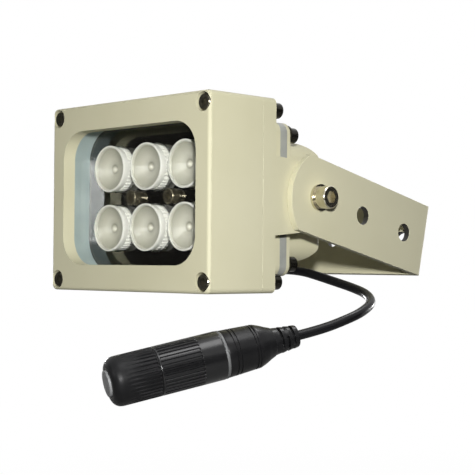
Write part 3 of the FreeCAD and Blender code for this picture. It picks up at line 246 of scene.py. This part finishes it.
plug_profile = [(0, CABLE_BORE), (0, RELIEF_RADIUS, 0.5)]
for place in RELIEF_SLOTS:
    plug_profile += [(place + shift, RELIEF_RADIUS + RELIEF_FLARE * place / RELIEF_END)
                     for shift in (-0.65, -0.49, 0.49, 0.65)]
plug_profile += [(RELIEF_END, 5.6, 0.3), (RELIEF_END + 0.1, 5.9, 0.2), (RELIEF_END + 2.2, 6.7, 1),
                 (RELIEF_END + 4.2, 7.75, 1), (SHOULDER - 0.3, SHOULDER_RADIUS, 1.4)]
for place in PLUG_RINGS:
    share = (place - SHOULDER) / (PLUG_END - SHOULDER)
    plug_profile += [(place + shift, SHOULDER_RADIUS + (PLUG_RADIUS - SHOULDER_RADIUS) * share)
                     for shift in (-0.4, -0.25, 0.25, 0.4)]
plug_profile += [(PLUG_FACE, PLUG_RADIUS, 0.3), (PLUG_FACE, NECK_RADIUS), (NECK_END, NECK_RADIUS),
                 (NECK_END, 0)]
plug = turned("plug", eased(plug_profile, 0.12, 2), CONNECTOR, PLUG_BLACK, 144, plug_cut)
stands_for(plug, "plug_body", "lamp")


# Coupling
# A sealing ring of grey rubber, and the black nylon sleeve and gland nut that screw up against it.
# Both are fluted for the fingers. In the nut's tip a grey seal with a thin skin closes the way in
# for a supply lead.
GREY_RUBBER = finish("grey_seal", paint_tone(128, 129, 129), paint_tone(114, 115, 116), 5, 0.5, 0.06,
                     0.3, 0.02)
RING_GREY = finish("ring_grey", paint_tone(98, 99, 99), paint_tone(86, 87, 88), 5, 0.5, 0.06, 0.3, 0.02)
SLEEVE_BLACK = finish("sleeve_black", paint_tone(22, 22, 23), paint_tone(17, 17, 18), 9, 0.23, 0.05, 0.35,
                      0.02, Specular_IOR_Level=0.36)
NUT_BLACK = finish("nut_black", paint_tone(22, 22, 23), paint_tone(16, 16, 17), 7, 0.42, 0.06, 0.35, 0.02,
                   Specular_IOR_Level=0.13)
GRIP = 9.75
RING_RADIUS, RING_BORE, SLEEVE_BORE, NUT_BORE = 9.65, 7.95, 8.1, 7.2
RING_END = PLUG_END + 2.4
SLEEVE_END = RING_END + 26.1
NUT_END = SLEEVE_END + 19
RING_BACK = RING_END - 0.6
FLUTES, FLUTE_SHARE, FLUTE_DEPTH = 36, 0.55, 0.55
FLUTES_FROM, FLUTES_LONG = RING_END + 8.7, 16.6
NUT_GRIP = SLEEVE_END + 13.7
NUT_LEDGE, NUT_MOUTH = NUT_END - 3, 5.3
SEAL_RADIUS, SEAL_FOOT, SEAL_BORE = 5.2, 7.1, 2.6
SEAL_BASE, SEAL_SKIN, SEAL_LIP = NUT_END - 12, NUT_END + 0.2, NUT_END + 0.9


def flute_cut(along, angle, radius):
    """Flutes between the grip's ribs: square-ended on the sleeve, running out along the nut."""
    across = abs((angle * FLUTES / math.tau) % 1 - 0.5) * 2
    groove = min(1, max(0, (FLUTE_SHARE - across) * 8))
    on_sleeve = min(along - FLUTES_FROM, FLUTES_FROM + FLUTES_LONG - along) * 2.5
    on_nut = min((along - SLEEVE_END - 0.3) * 2.5, (NUT_GRIP - along) / 9)
    return FLUTE_DEPTH * groove * min(1, max(0, on_sleeve, on_nut))


ring_profile = [(PLUG_FACE, RING_BORE), (PLUG_FACE, RING_RADIUS, 0.4), (RING_BACK, RING_RADIUS, 0.4),
                (RING_BACK, RING_BORE)]
coupling_ring = turned("coupling_ring", eased(ring_profile, 0.1), CONNECTOR, RING_GREY, closed=True)
stands_for(coupling_ring, "coupling_o_ring", "lamp")

sleeve_stations = [FLUTES_FROM + step for step in (0, 0.2, 0.4, 0.8)]
sleeve_stations += [FLUTES_FROM + FLUTES_LONG - step for step in (0.8, 0.4, 0.2, 0)]
sleeve_profile = [(RING_BACK, SLEEVE_BORE), (RING_BACK, GRIP, 0.5)]
sleeve_profile += [(along, GRIP) for along in sleeve_stations]
sleeve_profile += [(SLEEVE_END - 0.15, GRIP, 0.35), (SLEEVE_END - 0.15, SLEEVE_BORE)]
sleeve = turned("sleeve", eased(sleeve_profile, 0.1), CONNECTOR, SLEEVE_BLACK, FLUTES * 12, flute_cut, True)
stands_for(sleeve, "coupling_sleeve", "lamp")

nut_profile = [(SLEEVE_END, NUT_BORE), (SLEEVE_END, GRIP, 0.35)]
nut_profile += [(SLEEVE_END + step, GRIP) for step in (0.3, 0.5, 0.7, 1.1, 3, 5, 7, 9, 11, 12.6, 13.7)]
nut_profile += [(NUT_END - 3.7, GRIP, 0.6), (NUT_END - 2.1, GRIP - 0.3, 0.8),
                (NUT_END - 0.8, GRIP - 1.2, 0.8), (NUT_END, 7.1, 0.7), (NUT_END, NUT_MOUTH, 0.15),
                (NUT_LEDGE, NUT_MOUTH), (NUT_LEDGE, NUT_BORE)]
nut = turned("nut", eased(nut_profile, 0.1), CONNECTOR, NUT_BLACK, FLUTES * 12, flute_cut, True)
stands_for(nut, "gland_nut", "lamp")

seal_profile = [(SEAL_SKIN, 0), (SEAL_SKIN, SEAL_BORE, 0.2), (SEAL_BASE, SEAL_BORE),
                (SEAL_BASE, SEAL_FOOT), (NUT_LEDGE, SEAL_FOOT), (NUT_LEDGE, SEAL_RADIUS),
                (SEAL_LIP, SEAL_RADIUS, 0.3), (SEAL_LIP, 0)]
lead_seal = turned("lead_seal", eased(seal_profile, 0.15), CONNECTOR, GREY_RUBBER)
stands_for(lead_seal, "end_seal", "lamp")


# Contacts
# The hard black insert that carries the contacts inside the sleeve, pushed into the plug's neck,
# and the three turned brass pins that are pressed into it.


def dress(material, *names):
    """Gives CAD nodes whose shape is kept this material."""
    for name in names:
        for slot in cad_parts[name].material_slots:
            slot.material = material


BRASS = finish("pin_brass", paint_tone(196, 160, 90), paint_tone(180, 140, 74), 2, 0.28, 0.08, 0.2, 0.01,
               Metallic=1.0)
dress(PLUG_BLACK, "contact_insert")
dress(BRASS, "contact_pins")


# Cable boot
# A soft black rubber elbow, pushed up through the driver cover's underside. Its lip holds it inside,
# a collar seals outside, and the arm along the cable is ringed so that it can bend.
RUBBER = finish("boot_rubber", paint_tone(30, 30, 32), paint_tone(22, 22, 24), 5, 0.5, 0.08, 0.3, 0.03)
BOOT = LAMP + Vector((8.5, 65, 10.2)) * MM
BOOT_SLOTS, BOOT_SLOT_HALF, BOOT_SLOT_DEPTH = (5.2, 7.6, 10), 0.42, 0.7
BOOT_END, BOOT_RADIUS, BOOT_TAPER = 12.5, 3.1, 0.6


def boot_rings(along, angle, radius):
    """Three slots round the boot's arm, open to both sides in turn."""
    for number, place in enumerate(BOOT_SLOTS):
        if abs(along - place) < BOOT_SLOT_HALF:
            opening = abs(math.cos(angle + number * math.pi / 2))
            return BOOT_SLOT_DEPTH * min(1, max(0, (opening - 0.25) * 5))
    return 0


stub_profile = [
    (-2.9, 0), (-3.1, 1.2, 0.8), (-2.4, 3, 1.4), (1.4, 3.1), (2.1, 3.1, 0.2), (2.2, 3.85, 0.25),
    (3.15, 3.9, 0.2), (3.2, 3.1, 0.1), (6.15, 3.1, 0.1), (6.2, 3.9, 0.2), (7.4, 3.5, 0.3), (7.4, 0)]
boot_stub = turned("boot_stub", eased(stub_profile, 0.1), Matrix.Translation(BOOT)
                   @ Matrix.Rotation(-math.pi / 2, 4, "Y"), RUBBER, 48)
stands_for(boot_stub, "cable_boot", "lamp")
arm_profile = [(0, 0), (0, BOOT_RADIUS), (3.6, 3.02)]
for place in BOOT_SLOTS:
    arm_profile += [(place + shift, BOOT_RADIUS - BOOT_TAPER * place / BOOT_END)
                    for shift in (-0.55, -0.4, 0.4, 0.55)]
arm_profile += [(BOOT_END, 2.5, 0.5), (BOOT_END, CABLE_BORE), (11.5, CABLE_BORE), (11.5, 0)]
boot_arm = turned("boot_arm", eased(arm_profile, 0.1, 2), Matrix.Translation(BOOT), RUBBER, 48, boot_rings)
stands_for(boot_arm, "cable_boot", "lamp")


# Front housing
# One aluminium casting, powder coated cream: four walls, a front frame round the window and a post
# for a long screw in each corner. Paint rounds its edges, and its colour is paler along them: thin paint
# and a painted edge highlight.


def powder_coat():
    """Cream powder coat: a slow change of tone, a fine orange peel, and a paler line along edges that
    paints thin paint and an edge highlight.
    """
    coat = finish("cream_paint", paint_tone(208, 204, 175), paint_tone(202, 198, 167), 45, 0.5, 0.05,
                  0.9, 0.012, Specular_IOR_Level=0.2)
    tree = coat.node_tree
    skin = tree.nodes["Principled BSDF"]
    tones = next(link.from_node for link in tree.links if link.to_socket == skin.inputs["Base Color"])
    rounding = tree.nodes.new("ShaderNodeBevel")
    rounding.samples = 4
    rounding.inputs["Radius"].default_value = 0.6 * MM
    shape = tree.nodes.new("ShaderNodeNewGeometry")
    agreement = tree.nodes.new("ShaderNodeVectorMath")
    agreement.operation = "DOT_PRODUCT"
    tree.links.new(rounding.outputs["Normal"], agreement.inputs[0])
    tree.links.new(shape.outputs["Normal"], agreement.inputs[1])
    edge = tree.nodes.new("ShaderNodeMapRange")
    edge.inputs["From Min"].default_value = 0.995
    edge.inputs["From Max"].default_value = 0.9
    edge.inputs["To Max"].default_value = 0.2
    tree.links.new(agreement.outputs["Value"], edge.inputs["Value"])
    # The paler colour along edges is partly thin paint and partly a painted edge highlight.
    thin_paint_and_highlight = tree.nodes.new("ShaderNodeMix")
    thin_paint_and_highlight.data_type = "RGBA"
    thin_paint_and_highlight.inputs["B"].default_value = paint_tone(222, 216, 190)
    tree.links.new(edge.outputs["Result"], thin_paint_and_highlight.inputs["Factor"])
    tree.links.new(tones.outputs["Color"], thin_paint_and_highlight.inputs["A"])
    tree.links.new(thin_paint_and_highlight.outputs["Result"], skin.inputs["Base Color"])
    return coat


def softened(name, node, width, material):
    """A piece's own skin from the frame, cleaned of its triangles, with its sharp edges rounded by
    width in mm."""
    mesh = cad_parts[node].data.copy()
    mesh.name = name
    if "custom_normal" in mesh.attributes:
        mesh.attributes.remove(mesh.attributes["custom_normal"])
    skin = bmesh.new()
    skin.from_mesh(mesh)
    bmesh.ops.remove_doubles(skin, verts=skin.verts, dist=2e-6)
    bmesh.ops.dissolve_limit(skin, angle_limit=math.radians(0.4), verts=skin.verts, edges=skin.edges)
    for face in skin.faces:
        face.smooth = True
    skin.to_mesh(mesh)
    skin.free()
    mesh.materials.clear()
    mesh.materials.append(material)
    piece = bpy.data.objects.new(name, mesh)
    bpy.context.scene.collection.objects.link(piece)
    edges = piece.modifiers.new("rounded_edges", "BEVEL")
    edges.width = width * MM
    edges.segments = 3
    edges.limit_method = "ANGLE"
    edges.angle_limit = math.radians(35)
    edges.harden_normals = True
    edges.miter_outer = "MITER_ARC"
    return piece


PAINT = powder_coat()
housing = softened("housing", "front_housing", 0.45, PAINT)
stands_for(housing, "front_housing", "lamp")


# Window
# A float glass pane, clamped behind the housing's frame by a deep ring of blue-grey silicone that
# shows all round the lenses.
GLASS = finish("window_glass", paint_tone(253, 253, 251), paint_tone(250, 251, 248), 30, 0.03, 0.02,
               8, 0.002, Transmission_Weight=1.0, IOR=1.3)
SILICONE = finish("silicone", paint_tone(166, 181, 179), paint_tone(153, 168, 168), 12, 0.3, 0.06,
                  0.6, 0.02, Subsurface_Weight=0.25, Subsurface_Radius=(0.003, 0.003, 0.003),
                  Subsurface_Scale=1.0)
pane = softened("pane", "window_glass", 0.15, GLASS)
# Light goes straight through the pane, so that it is counted once on what lies behind.
pane.visible_shadow = False
pane.visible_diffuse = False
stands_for(pane, "window_glass", "lamp")
dress(SILICONE, "window_gasket")


# Lamp board
# A polished black plate hides the board round the lenses. Two screws between the rows pull plate,
# spacers, aluminium board and heat pad down onto the rear cover.
GLOSS_BLACK = finish("gloss_black", paint_tone(12, 10, 7), paint_tone(9, 8, 5), 20, 0.05, 0.03, 3, 0.004,
                     IOR=2.3)
BRONZED = finish("bronzed_steel", paint_tone(126, 120, 100), paint_tone(94, 88, 72), 2, 0.24, 0.07,
                 0.3, 0.012, Metallic=0.75)
STEEL = finish("steel", paint_tone(212, 206, 186), paint_tone(190, 184, 164), 3, 0.16, 0.05, 0.3, 0.012,
               Metallic=1.0)
BOARD_WHITE = finish("board", paint_tone(226, 226, 220), paint_tone(214, 214, 208), 18, 0.4, 0.06,
                     0.5, 0.01)
HEAT_PAD = finish("heat_pad", paint_tone(150, 150, 158), paint_tone(138, 138, 148), 6, 0.75, 0.06,
                  0.4, 0.03)
dress(GLOSS_BLACK, "lens_plate")
dress(STEEL, "plate_spacers")
dress(BRONZED, "board_screws")
dress(BOARD_WHITE, "led_board")
dress(HEAT_PAD, "thermal_pad")


# Lenses
# Six frosted acrylic lenses, each in a translucent white cup with a smooth rim and a ribbed foot.
# The lens's face lies inside its rim, hollow towards a dimple in the middle.
CUP_WHITE = finish("cup_white", paint_tone(250, 250, 240), paint_tone(243, 243, 232), 7, 0.3, 0.05,
                   0.4, 0.01, Subsurface_Weight=0.3, Subsurface_Radius=(0.002, 0.002, 0.002),
                   Subsurface_Scale=1.0, Coat_Weight=0.3)
CUP_LONG, CUP_RIM, CUP_FOOT, CUP_WALL = 10, 10.75, 9.9, 0.7
CUP_RIBS, RIBS_FROM, RIBS_OUTSIDE, RIB_DEPTH = 36, 3.45, 9.7, 0.5
LENS_RADIUS = 10
# Rings of painted light on each lens face: a painted highlight at the dimple, painted shade round it and
# towards the rim, and a bright painted rim.
LENS_LIGHT_RINGS = [(0, (236, 235, 222)), (1.1, (214, 213, 198)), (1.9, (150, 149, 134)), (2.6, (206, 205, 190)),
              (4.6, (216, 215, 200)), (7.4, (190, 189, 173)), (9.3, (168, 167, 151)),
              (9.7, (226, 226, 214))]
LENS_PITCH, ROW_HALF = 25.6, 13.7
LENS_FACE, LENS_MIDDLE = 12.4, 42.5


def frosted():
    """Milky acrylic with painted light: its tone changes with the distance from the lens's axis, from_axis,
    which each lens carries as a share of its radius, in rings of painted highlight and shade."""
    acrylic = finish("frosted_lens", paint_tone(190, 189, 173), paint_tone(178, 177, 161), 5, 0.32, 0.05,
                     0.25, 0.012, Subsurface_Weight=0.3, Subsurface_Radius=(0.002, 0.002, 0.002),
                     Subsurface_Scale=1.0, Coat_Weight=0.5, Coat_Roughness=0.12)
    tree = acrylic.node_tree
    skin = tree.nodes["Principled BSDF"]
    clouds = next(link.from_node for link in tree.links if link.to_socket == skin.inputs["Base Color"])
    from_axis = tree.nodes.new("ShaderNodeAttribute")
    from_axis.attribute_name = "from_axis"
    painted_light_rings = tree.nodes.new("ShaderNodeValToRGB")
    stops = painted_light_rings.color_ramp.elements
    for place, (radius, tone) in enumerate(LENS_LIGHT_RINGS):
        stop = stops[place] if place < 2 else stops.new(radius / LENS_RADIUS)
        stop.position = radius / LENS_RADIUS
        stop.color = paint_tone(*tone)
    tree.links.new(from_axis.outputs["Fac"], painted_light_rings.inputs["Fac"])
    milky = tree.nodes.new("ShaderNodeMix")
    milky.data_type = "RGBA"
    milky.inputs["Factor"].default_value = 0.75
    tree.links.new(clouds.outputs["Color"], milky.inputs["A"])
    tree.links.new(painted_light_rings.outputs["Color"], milky.inputs["B"])
    tree.links.new(milky.outputs["Result"], skin.inputs["Base Color"])
    return acrylic


def rib_cut(along, angle, radius):
    """The cup's foot is ribbed from under its rim down to the board."""
    if radius < RIBS_OUTSIDE or along < RIBS_FROM:
        return 0
    return RIB_DEPTH * min(1, max(0, math.cos(angle * CUP_RIBS) * 2 + 0.5))


FROSTED = frosted()
cup_profile = [
    (0, CUP_RIM - CUP_WALL), (0, CUP_RIM, 0.25), (2.9, CUP_RIM - 0.2, 0.2), (3.1, CUP_RIM - 0.55),
    (3.5, CUP_RIM - 0.55), (3.9, CUP_RIM - 0.35), (CUP_LONG - 1, CUP_FOOT + 0.1), (CUP_LONG, CUP_FOOT, 0.2),
    (CUP_LONG, 5.2), (CUP_LONG - 0.8, 5.2), (CUP_LONG - 0.8, CUP_FOOT - 1.4), (3.2, 9.15), (2.5, 9.15),
    (2.5, CUP_RIM - CUP_WALL)]
lens_profile = [
    (4.9, 0), (4.7, 0.7), (3.9, 1.5, 0.4), (3.4, 2.2, 0.6), (2.5, 5.2, 1), (1.2, 9.4, 0.3),
    (0.2, 9.6, 0.15), (0.2, LENS_RADIUS, 0.1), (2.5, LENS_RADIUS), (2.5, 8.95), (8.2, 4.6), (8.2, 2.6),
    (5.6, 2.6), (5.6, 0)]
lens_places = [(across, up) for up in (ROW_HALF, -ROW_HALF) for across in (-LENS_PITCH, 0, LENS_PITCH)]
for number, (across, up) in enumerate(lens_places, 1):
    front = LAMP + Vector((across, LENS_FACE, LENS_MIDDLE + up)) * MM
    seat = Matrix.Translation(front) @ Matrix.Rotation(math.pi / 2, 4, "Z")
    cup = turned("lens_cup_%d" % number, eased(cup_profile, 0.08, 2), seat, CUP_WHITE, CUP_RIBS * 6,
                 rib_cut, True)
    stands_for(cup, "lens_holder_%d" % number, "lamp")
    optic = turned("lens_optic_%d" % number, eased(lens_profile, 0.1, 3), seat, FROSTED, 72)
    marks = optic.data.attributes.new("from_axis", "FLOAT", "POINT")
    for mark, vertex in zip(marks.data, optic.data.vertices):
        mark.value = (vertex.co - front).cross(Vector((0, 1, 0))).length / MM / LENS_RADIUS
    stands_for(optic, "lens_%d" % number, "lamp")
EMITTER = finish("emitter", paint_tone(228, 214, 150), paint_tone(208, 190, 120), 1.5, 0.3, 0.05, 0.4, 0.01)
dress(EMITTER, *["led_emitter_%d" % number for number in range(1, len(lens_places) + 1)])


# Front screws
# Four socket cap screws of blackened steel. Their heads are sunk in the corners of the front face,
# and each goes into one of the housing's corner posts.
# A lighter copy of the rear screws' blackened steel, which paints brighter highlights on these heads.
LIGHTER_BLACK_STEEL = finish("black_steel_painted_highlight", paint_tone(128, 124, 108), paint_tone(84, 80, 68), 1.5, 0.22, 0.07,
                     0.25, 0.012, Metallic=0.85)
dress(LIGHTER_BLACK_STEEL, "front_screws")


# Rear cover
# The second aluminium casting: a plate that closes the housing on a rubber cord, a raised rim for
# the driver's compartment and an ear on each side for the bracket.
BLACK_STEEL = finish("black_steel", paint_tone(50, 48, 41), paint_tone(34, 32, 27), 1.5, 0.25, 0.08,
                     0.25, 0.012, Metallic=0.85)
SEAL_RUBBER = finish("seal_rubber", paint_tone(36, 36, 37), paint_tone(28, 28, 29), 8, 0.6, 0.05, 0.5, 0.02)
back_casting = softened("back_casting", "rear_cover", 0.45, PAINT)
stands_for(back_casting, "rear_cover", "lamp")
dress(SEAL_RUBBER, "housing_seal")
dress(BLACK_STEEL, "rear_screws", "rear_lock_washers", "rear_flat_washers")


# Driver cover
# A cream casting with a round-nosed bulge over the driver's compartment. Four blackened screws,
# each with a lock washer and a flat washer, clamp it onto a thick silicone gasket.
GASKET = finish("gasket_silicone", paint_tone(166, 167, 160), paint_tone(150, 152, 147), 9, 0.42, 0.06, 0.6,
                0.02, Subsurface_Weight=0.2, Subsurface_Radius=(0.003, 0.003, 0.003), Subsurface_Scale=1.0)
driver_casting = softened("driver_casting", "driver_cover", 0.4, PAINT)
stands_for(driver_casting, "driver_cover", "lamp")
dress(GASKET, "driver_gasket")
dress(BLACK_STEEL, "cover_screws", "cover_lock_washers", "cover_flat_washers")


# Driver circuit
# Inside the bulge: a green board on four posts with a wound inductor, two capacitors and a terminal
# block, and the red leads that go through the rear cover to the lamp board.
CIRCUIT = finish("circuit", paint_tone(34, 92, 62), paint_tone(26, 78, 52), 6, 0.35, 0.05, 0.6, 0.02)
INDUCTOR = finish("inductor", paint_tone(58, 56, 54), paint_tone(46, 44, 43), 4, 0.6, 0.08, 0.5, 0.04)
CAPACITOR = finish("capacitor", paint_tone(40, 44, 60), paint_tone(32, 34, 48), 4, 0.35, 0.05, 0.4, 0.01)
TERMINAL = finish("terminal", paint_tone(56, 120, 72), paint_tone(48, 106, 62), 5, 0.45, 0.05, 0.4, 0.02)
RED_WIRE = finish("red_wire", paint_tone(176, 50, 44), paint_tone(160, 42, 38), 3, 0.4, 0.05, 0.3, 0.01)
dress(CIRCUIT, "driver_board")
dress(INDUCTOR, "driver_inductor")
dress(CAPACITOR, "driver_capacitors")
dress(TERMINAL, "terminal_block")
dress(RED_WIRE, "lamp_leads")
dress(BLACK_STEEL, "driver_screws")


# Bracket
# One folded aluminium plate, powder coated like the lamp, with painted shade dark on the walls of its
# holes.
# Stainless cap screws with wide washers clamp its arms to the rear cover's ears, and the web's
# holes take the wall bolts.
# The holes' walls get a dark colour that paints the shade inside them.
HOLE_SHADE = finish("painted_hole_shade", paint_tone(42, 40, 34), paint_tone(32, 30, 26), 2, 0.55, 0.08, 0.3, 0.02)
RISE = math.radians(13)
SLOPE = Vector((0, math.cos(RISE), -math.sin(RISE)))
ACROSS = Vector((1, 0, 0))
PIVOT_REACH = 80.5
BOLT_HOLE, MIDDLE_HOLE = 4.25, 3.25
bracket_holes = [((behind - PIVOT_REACH) * SLOPE, ACROSS, BOLT_HOLE) for behind in (31.4, 63.1)]
bracket_holes += [(side * ACROSS, SLOPE, BOLT_HOLE) for side in (-44, 44)]
bracket_holes += [(Vector((0, 0, 0)), SLOPE, MIDDLE_HOLE)]
bracket = softened("bracket", "mounting_bracket", 0.35, PAINT)
bracket.data.materials.append(HOLE_SHADE)
for face in bracket.data.polygons:
    for middle, axis, radius in bracket_holes:
        away = (face.center / MM - middle).cross(axis).length
        if abs(face.normal.dot(axis)) < 0.1 and radius - 0.3 < away < radius + 0.05:
            face.material_index = 1
stands_for(bracket, "mounting_bracket", "bracket")
dress(STEEL, "pivot_screws", "pivot_washers")


# Studio
# A pale floor, a white surround and four lights, the main one just above the camera. Only gloss and
# glass see the cards: dark ones where the window and the screw heads would mirror the surround, and
# bright ones for the connector and the lenses.


def seen_or_mirrored(tree):
    """One where the camera sees a surface directly, in a reflection or through glass."""
    path = tree.nodes.new("ShaderNodeLightPath")
    total = path.outputs["Is Camera Ray"]
    for other in ("Is Glossy Ray", "Is Transmission Ray"):
        either = tree.nodes.new("ShaderNodeMath")
        either.operation = "MAXIMUM"
        tree.links.new(total, either.inputs[0])
        tree.links.new(path.outputs[other], either.inputs[1])
        total = either.outputs["Value"]
    return total


def soft_box(name, place, width, power):
    """A square area light that faces the lamp."""
    light = bpy.data.lights.new(name, "AREA")
    light.size = width
    light.energy = power
    box = bpy.data.objects.new(name, light)
    box.location = place
    box.rotation_euler = (Vector((0, -0.1, 0)) - Vector(place)).to_track_quat("-Z", "Y").to_euler()
    bpy.context.scene.collection.objects.link(box)


def sheet_of(name, corners, material):
    """A flat four-cornered sheet of the studio."""
    mesh = bpy.data.meshes.new(name)
    mesh.from_pydata(corners, [], [(0, 1, 2, 3)])
    mesh.materials.append(material)
    sheet = bpy.data.objects.new(name, mesh)
    bpy.context.scene.collection.objects.link(sheet)
    return sheet


surround = bpy.data.worlds.new("surround")
surround.use_nodes = True
bpy.context.scene.world = surround
tree = surround.node_tree
backdrop = tree.nodes["Background"]
backdrop.inputs["Color"].default_value = (1, 1, 1, 1)
FILL_LIGHT = 0.035
strength = tree.nodes.new("ShaderNodeMapRange")
strength.inputs["To Min"].default_value = FILL_LIGHT
strength.inputs["To Max"].default_value = 1
tree.links.new(seen_or_mirrored(tree), strength.inputs["Value"])
tree.links.new(strength.outputs["Result"], backdrop.inputs["Strength"])


def stage_paint(name, tone):
    """A dull even paint for the studio's own sheets."""
    paint = bpy.data.materials.new(name)
    paint.use_nodes = True
    skin = paint.node_tree.nodes["Principled BSDF"]
    skin.inputs["Base Color"].default_value = (*tone, 1)
    skin.inputs["Roughness"].default_value = 0.9
    return paint


pale = stage_paint("pale_floor", (0.5, 0.5, 0.49))
tree = pale.node_tree
spot = tree.nodes.new("ShaderNodeNewGeometry")
away = tree.nodes.new("ShaderNodeVectorMath")
away.operation = "LENGTH"
tree.links.new(spot.outputs["Position"], away.inputs[0])
fade = tree.nodes.new("ShaderNodeMapRange")
for bound, amount in (("From Min", 0.2), ("From Max", 0.7), ("To Min", 0.95), ("To Max", 1)):
    fade.inputs[bound].default_value = amount
tree.links.new(away.outputs["Value"], fade.inputs["Value"])
glow = tree.nodes.new("ShaderNodeEmission")
blend = tree.nodes.new("ShaderNodeMixShader")
share = tree.nodes.new("ShaderNodeMath")
share.operation = "MULTIPLY"
tree.links.new(tree.nodes.new("ShaderNodeLightPath").outputs["Is Camera Ray"], share.inputs[0])
tree.links.new(fade.outputs["Result"], share.inputs[1])
tree.links.new(share.outputs["Value"], blend.inputs["Fac"])
tree.links.new(tree.nodes["Principled BSDF"].outputs["BSDF"], blend.inputs[1])
tree.links.new(glow.outputs["Emission"], blend.inputs[2])
tree.links.new(blend.outputs["Shader"], tree.nodes["Material Output"].inputs["Surface"])
FLOOR_Z, FLOOR_HALF = -0.2, 4
floor = sheet_of("floor", [(-FLOOR_HALF, -FLOOR_HALF, FLOOR_Z), (FLOOR_HALF, -FLOOR_HALF, FLOOR_Z),
                           (FLOOR_HALF, FLOOR_HALF, FLOOR_Z), (-FLOOR_HALF, FLOOR_HALF, FLOOR_Z)], pale)
floor.visible_diffuse = False


def card_of(name, corners, material):
    """A sheet that only gloss and glass see."""
    card = sheet_of(name, corners, material)
    card.visible_camera = False
    card.visible_diffuse = False
    card.visible_shadow = False
    return card


CARD_FOOT = -0.19
dark = stage_paint("dark_card", (0.01, 0.01, 0.01))
for name, near, far, high in (("left_card", (-0.5, -1.2), (-1.1, -0.5), 0.6),
                              ("front_card", (-0.4, -1.3), (1.3, 0.2), 0.2),
                              ("right_card", (1.1, 0.4), (0.65, 0.95), 0.4)):
    card_of(name, [(*near, CARD_FOOT), (*far, CARD_FOOT), (*far, high), (*near, high)], dark)

bright = bpy.data.materials.new("bright_card")
bright.use_nodes = True
tree = bright.node_tree
lit = tree.nodes.new("ShaderNodeEmission")
lit.inputs["Strength"].default_value = 7
tree.links.new(lit.outputs["Emission"], tree.nodes["Material Output"].inputs["Surface"])
ceiling = card_of("ceiling_card", [(0.15, -0.4, 0.8), (0.6, -0.4, 0.8), (0.6, 0.05, 0.8),
                                   (0.15, 0.05, 0.8)], bright)
ceiling.visible_transmission = False
card_of("lens_card", [(-0.262, -0.9, 0.05), (-0.08, -0.9, 0.05), (-0.08, -0.9, 0.33),
                      (-0.262, -0.9, 0.33)], bright)

soft_box("key_light", (0.45, -0.51, 0.07), 0.03, 4.3)
soft_box("back_light", (0.05, 1.2, 0.03), 0.15, 7)
soft_box("left_light", (-1.05, 0.4, 0.03), 0.15, 6)
soft_box("top_light", (0, 0.45, 1.1), 0.3, 4)
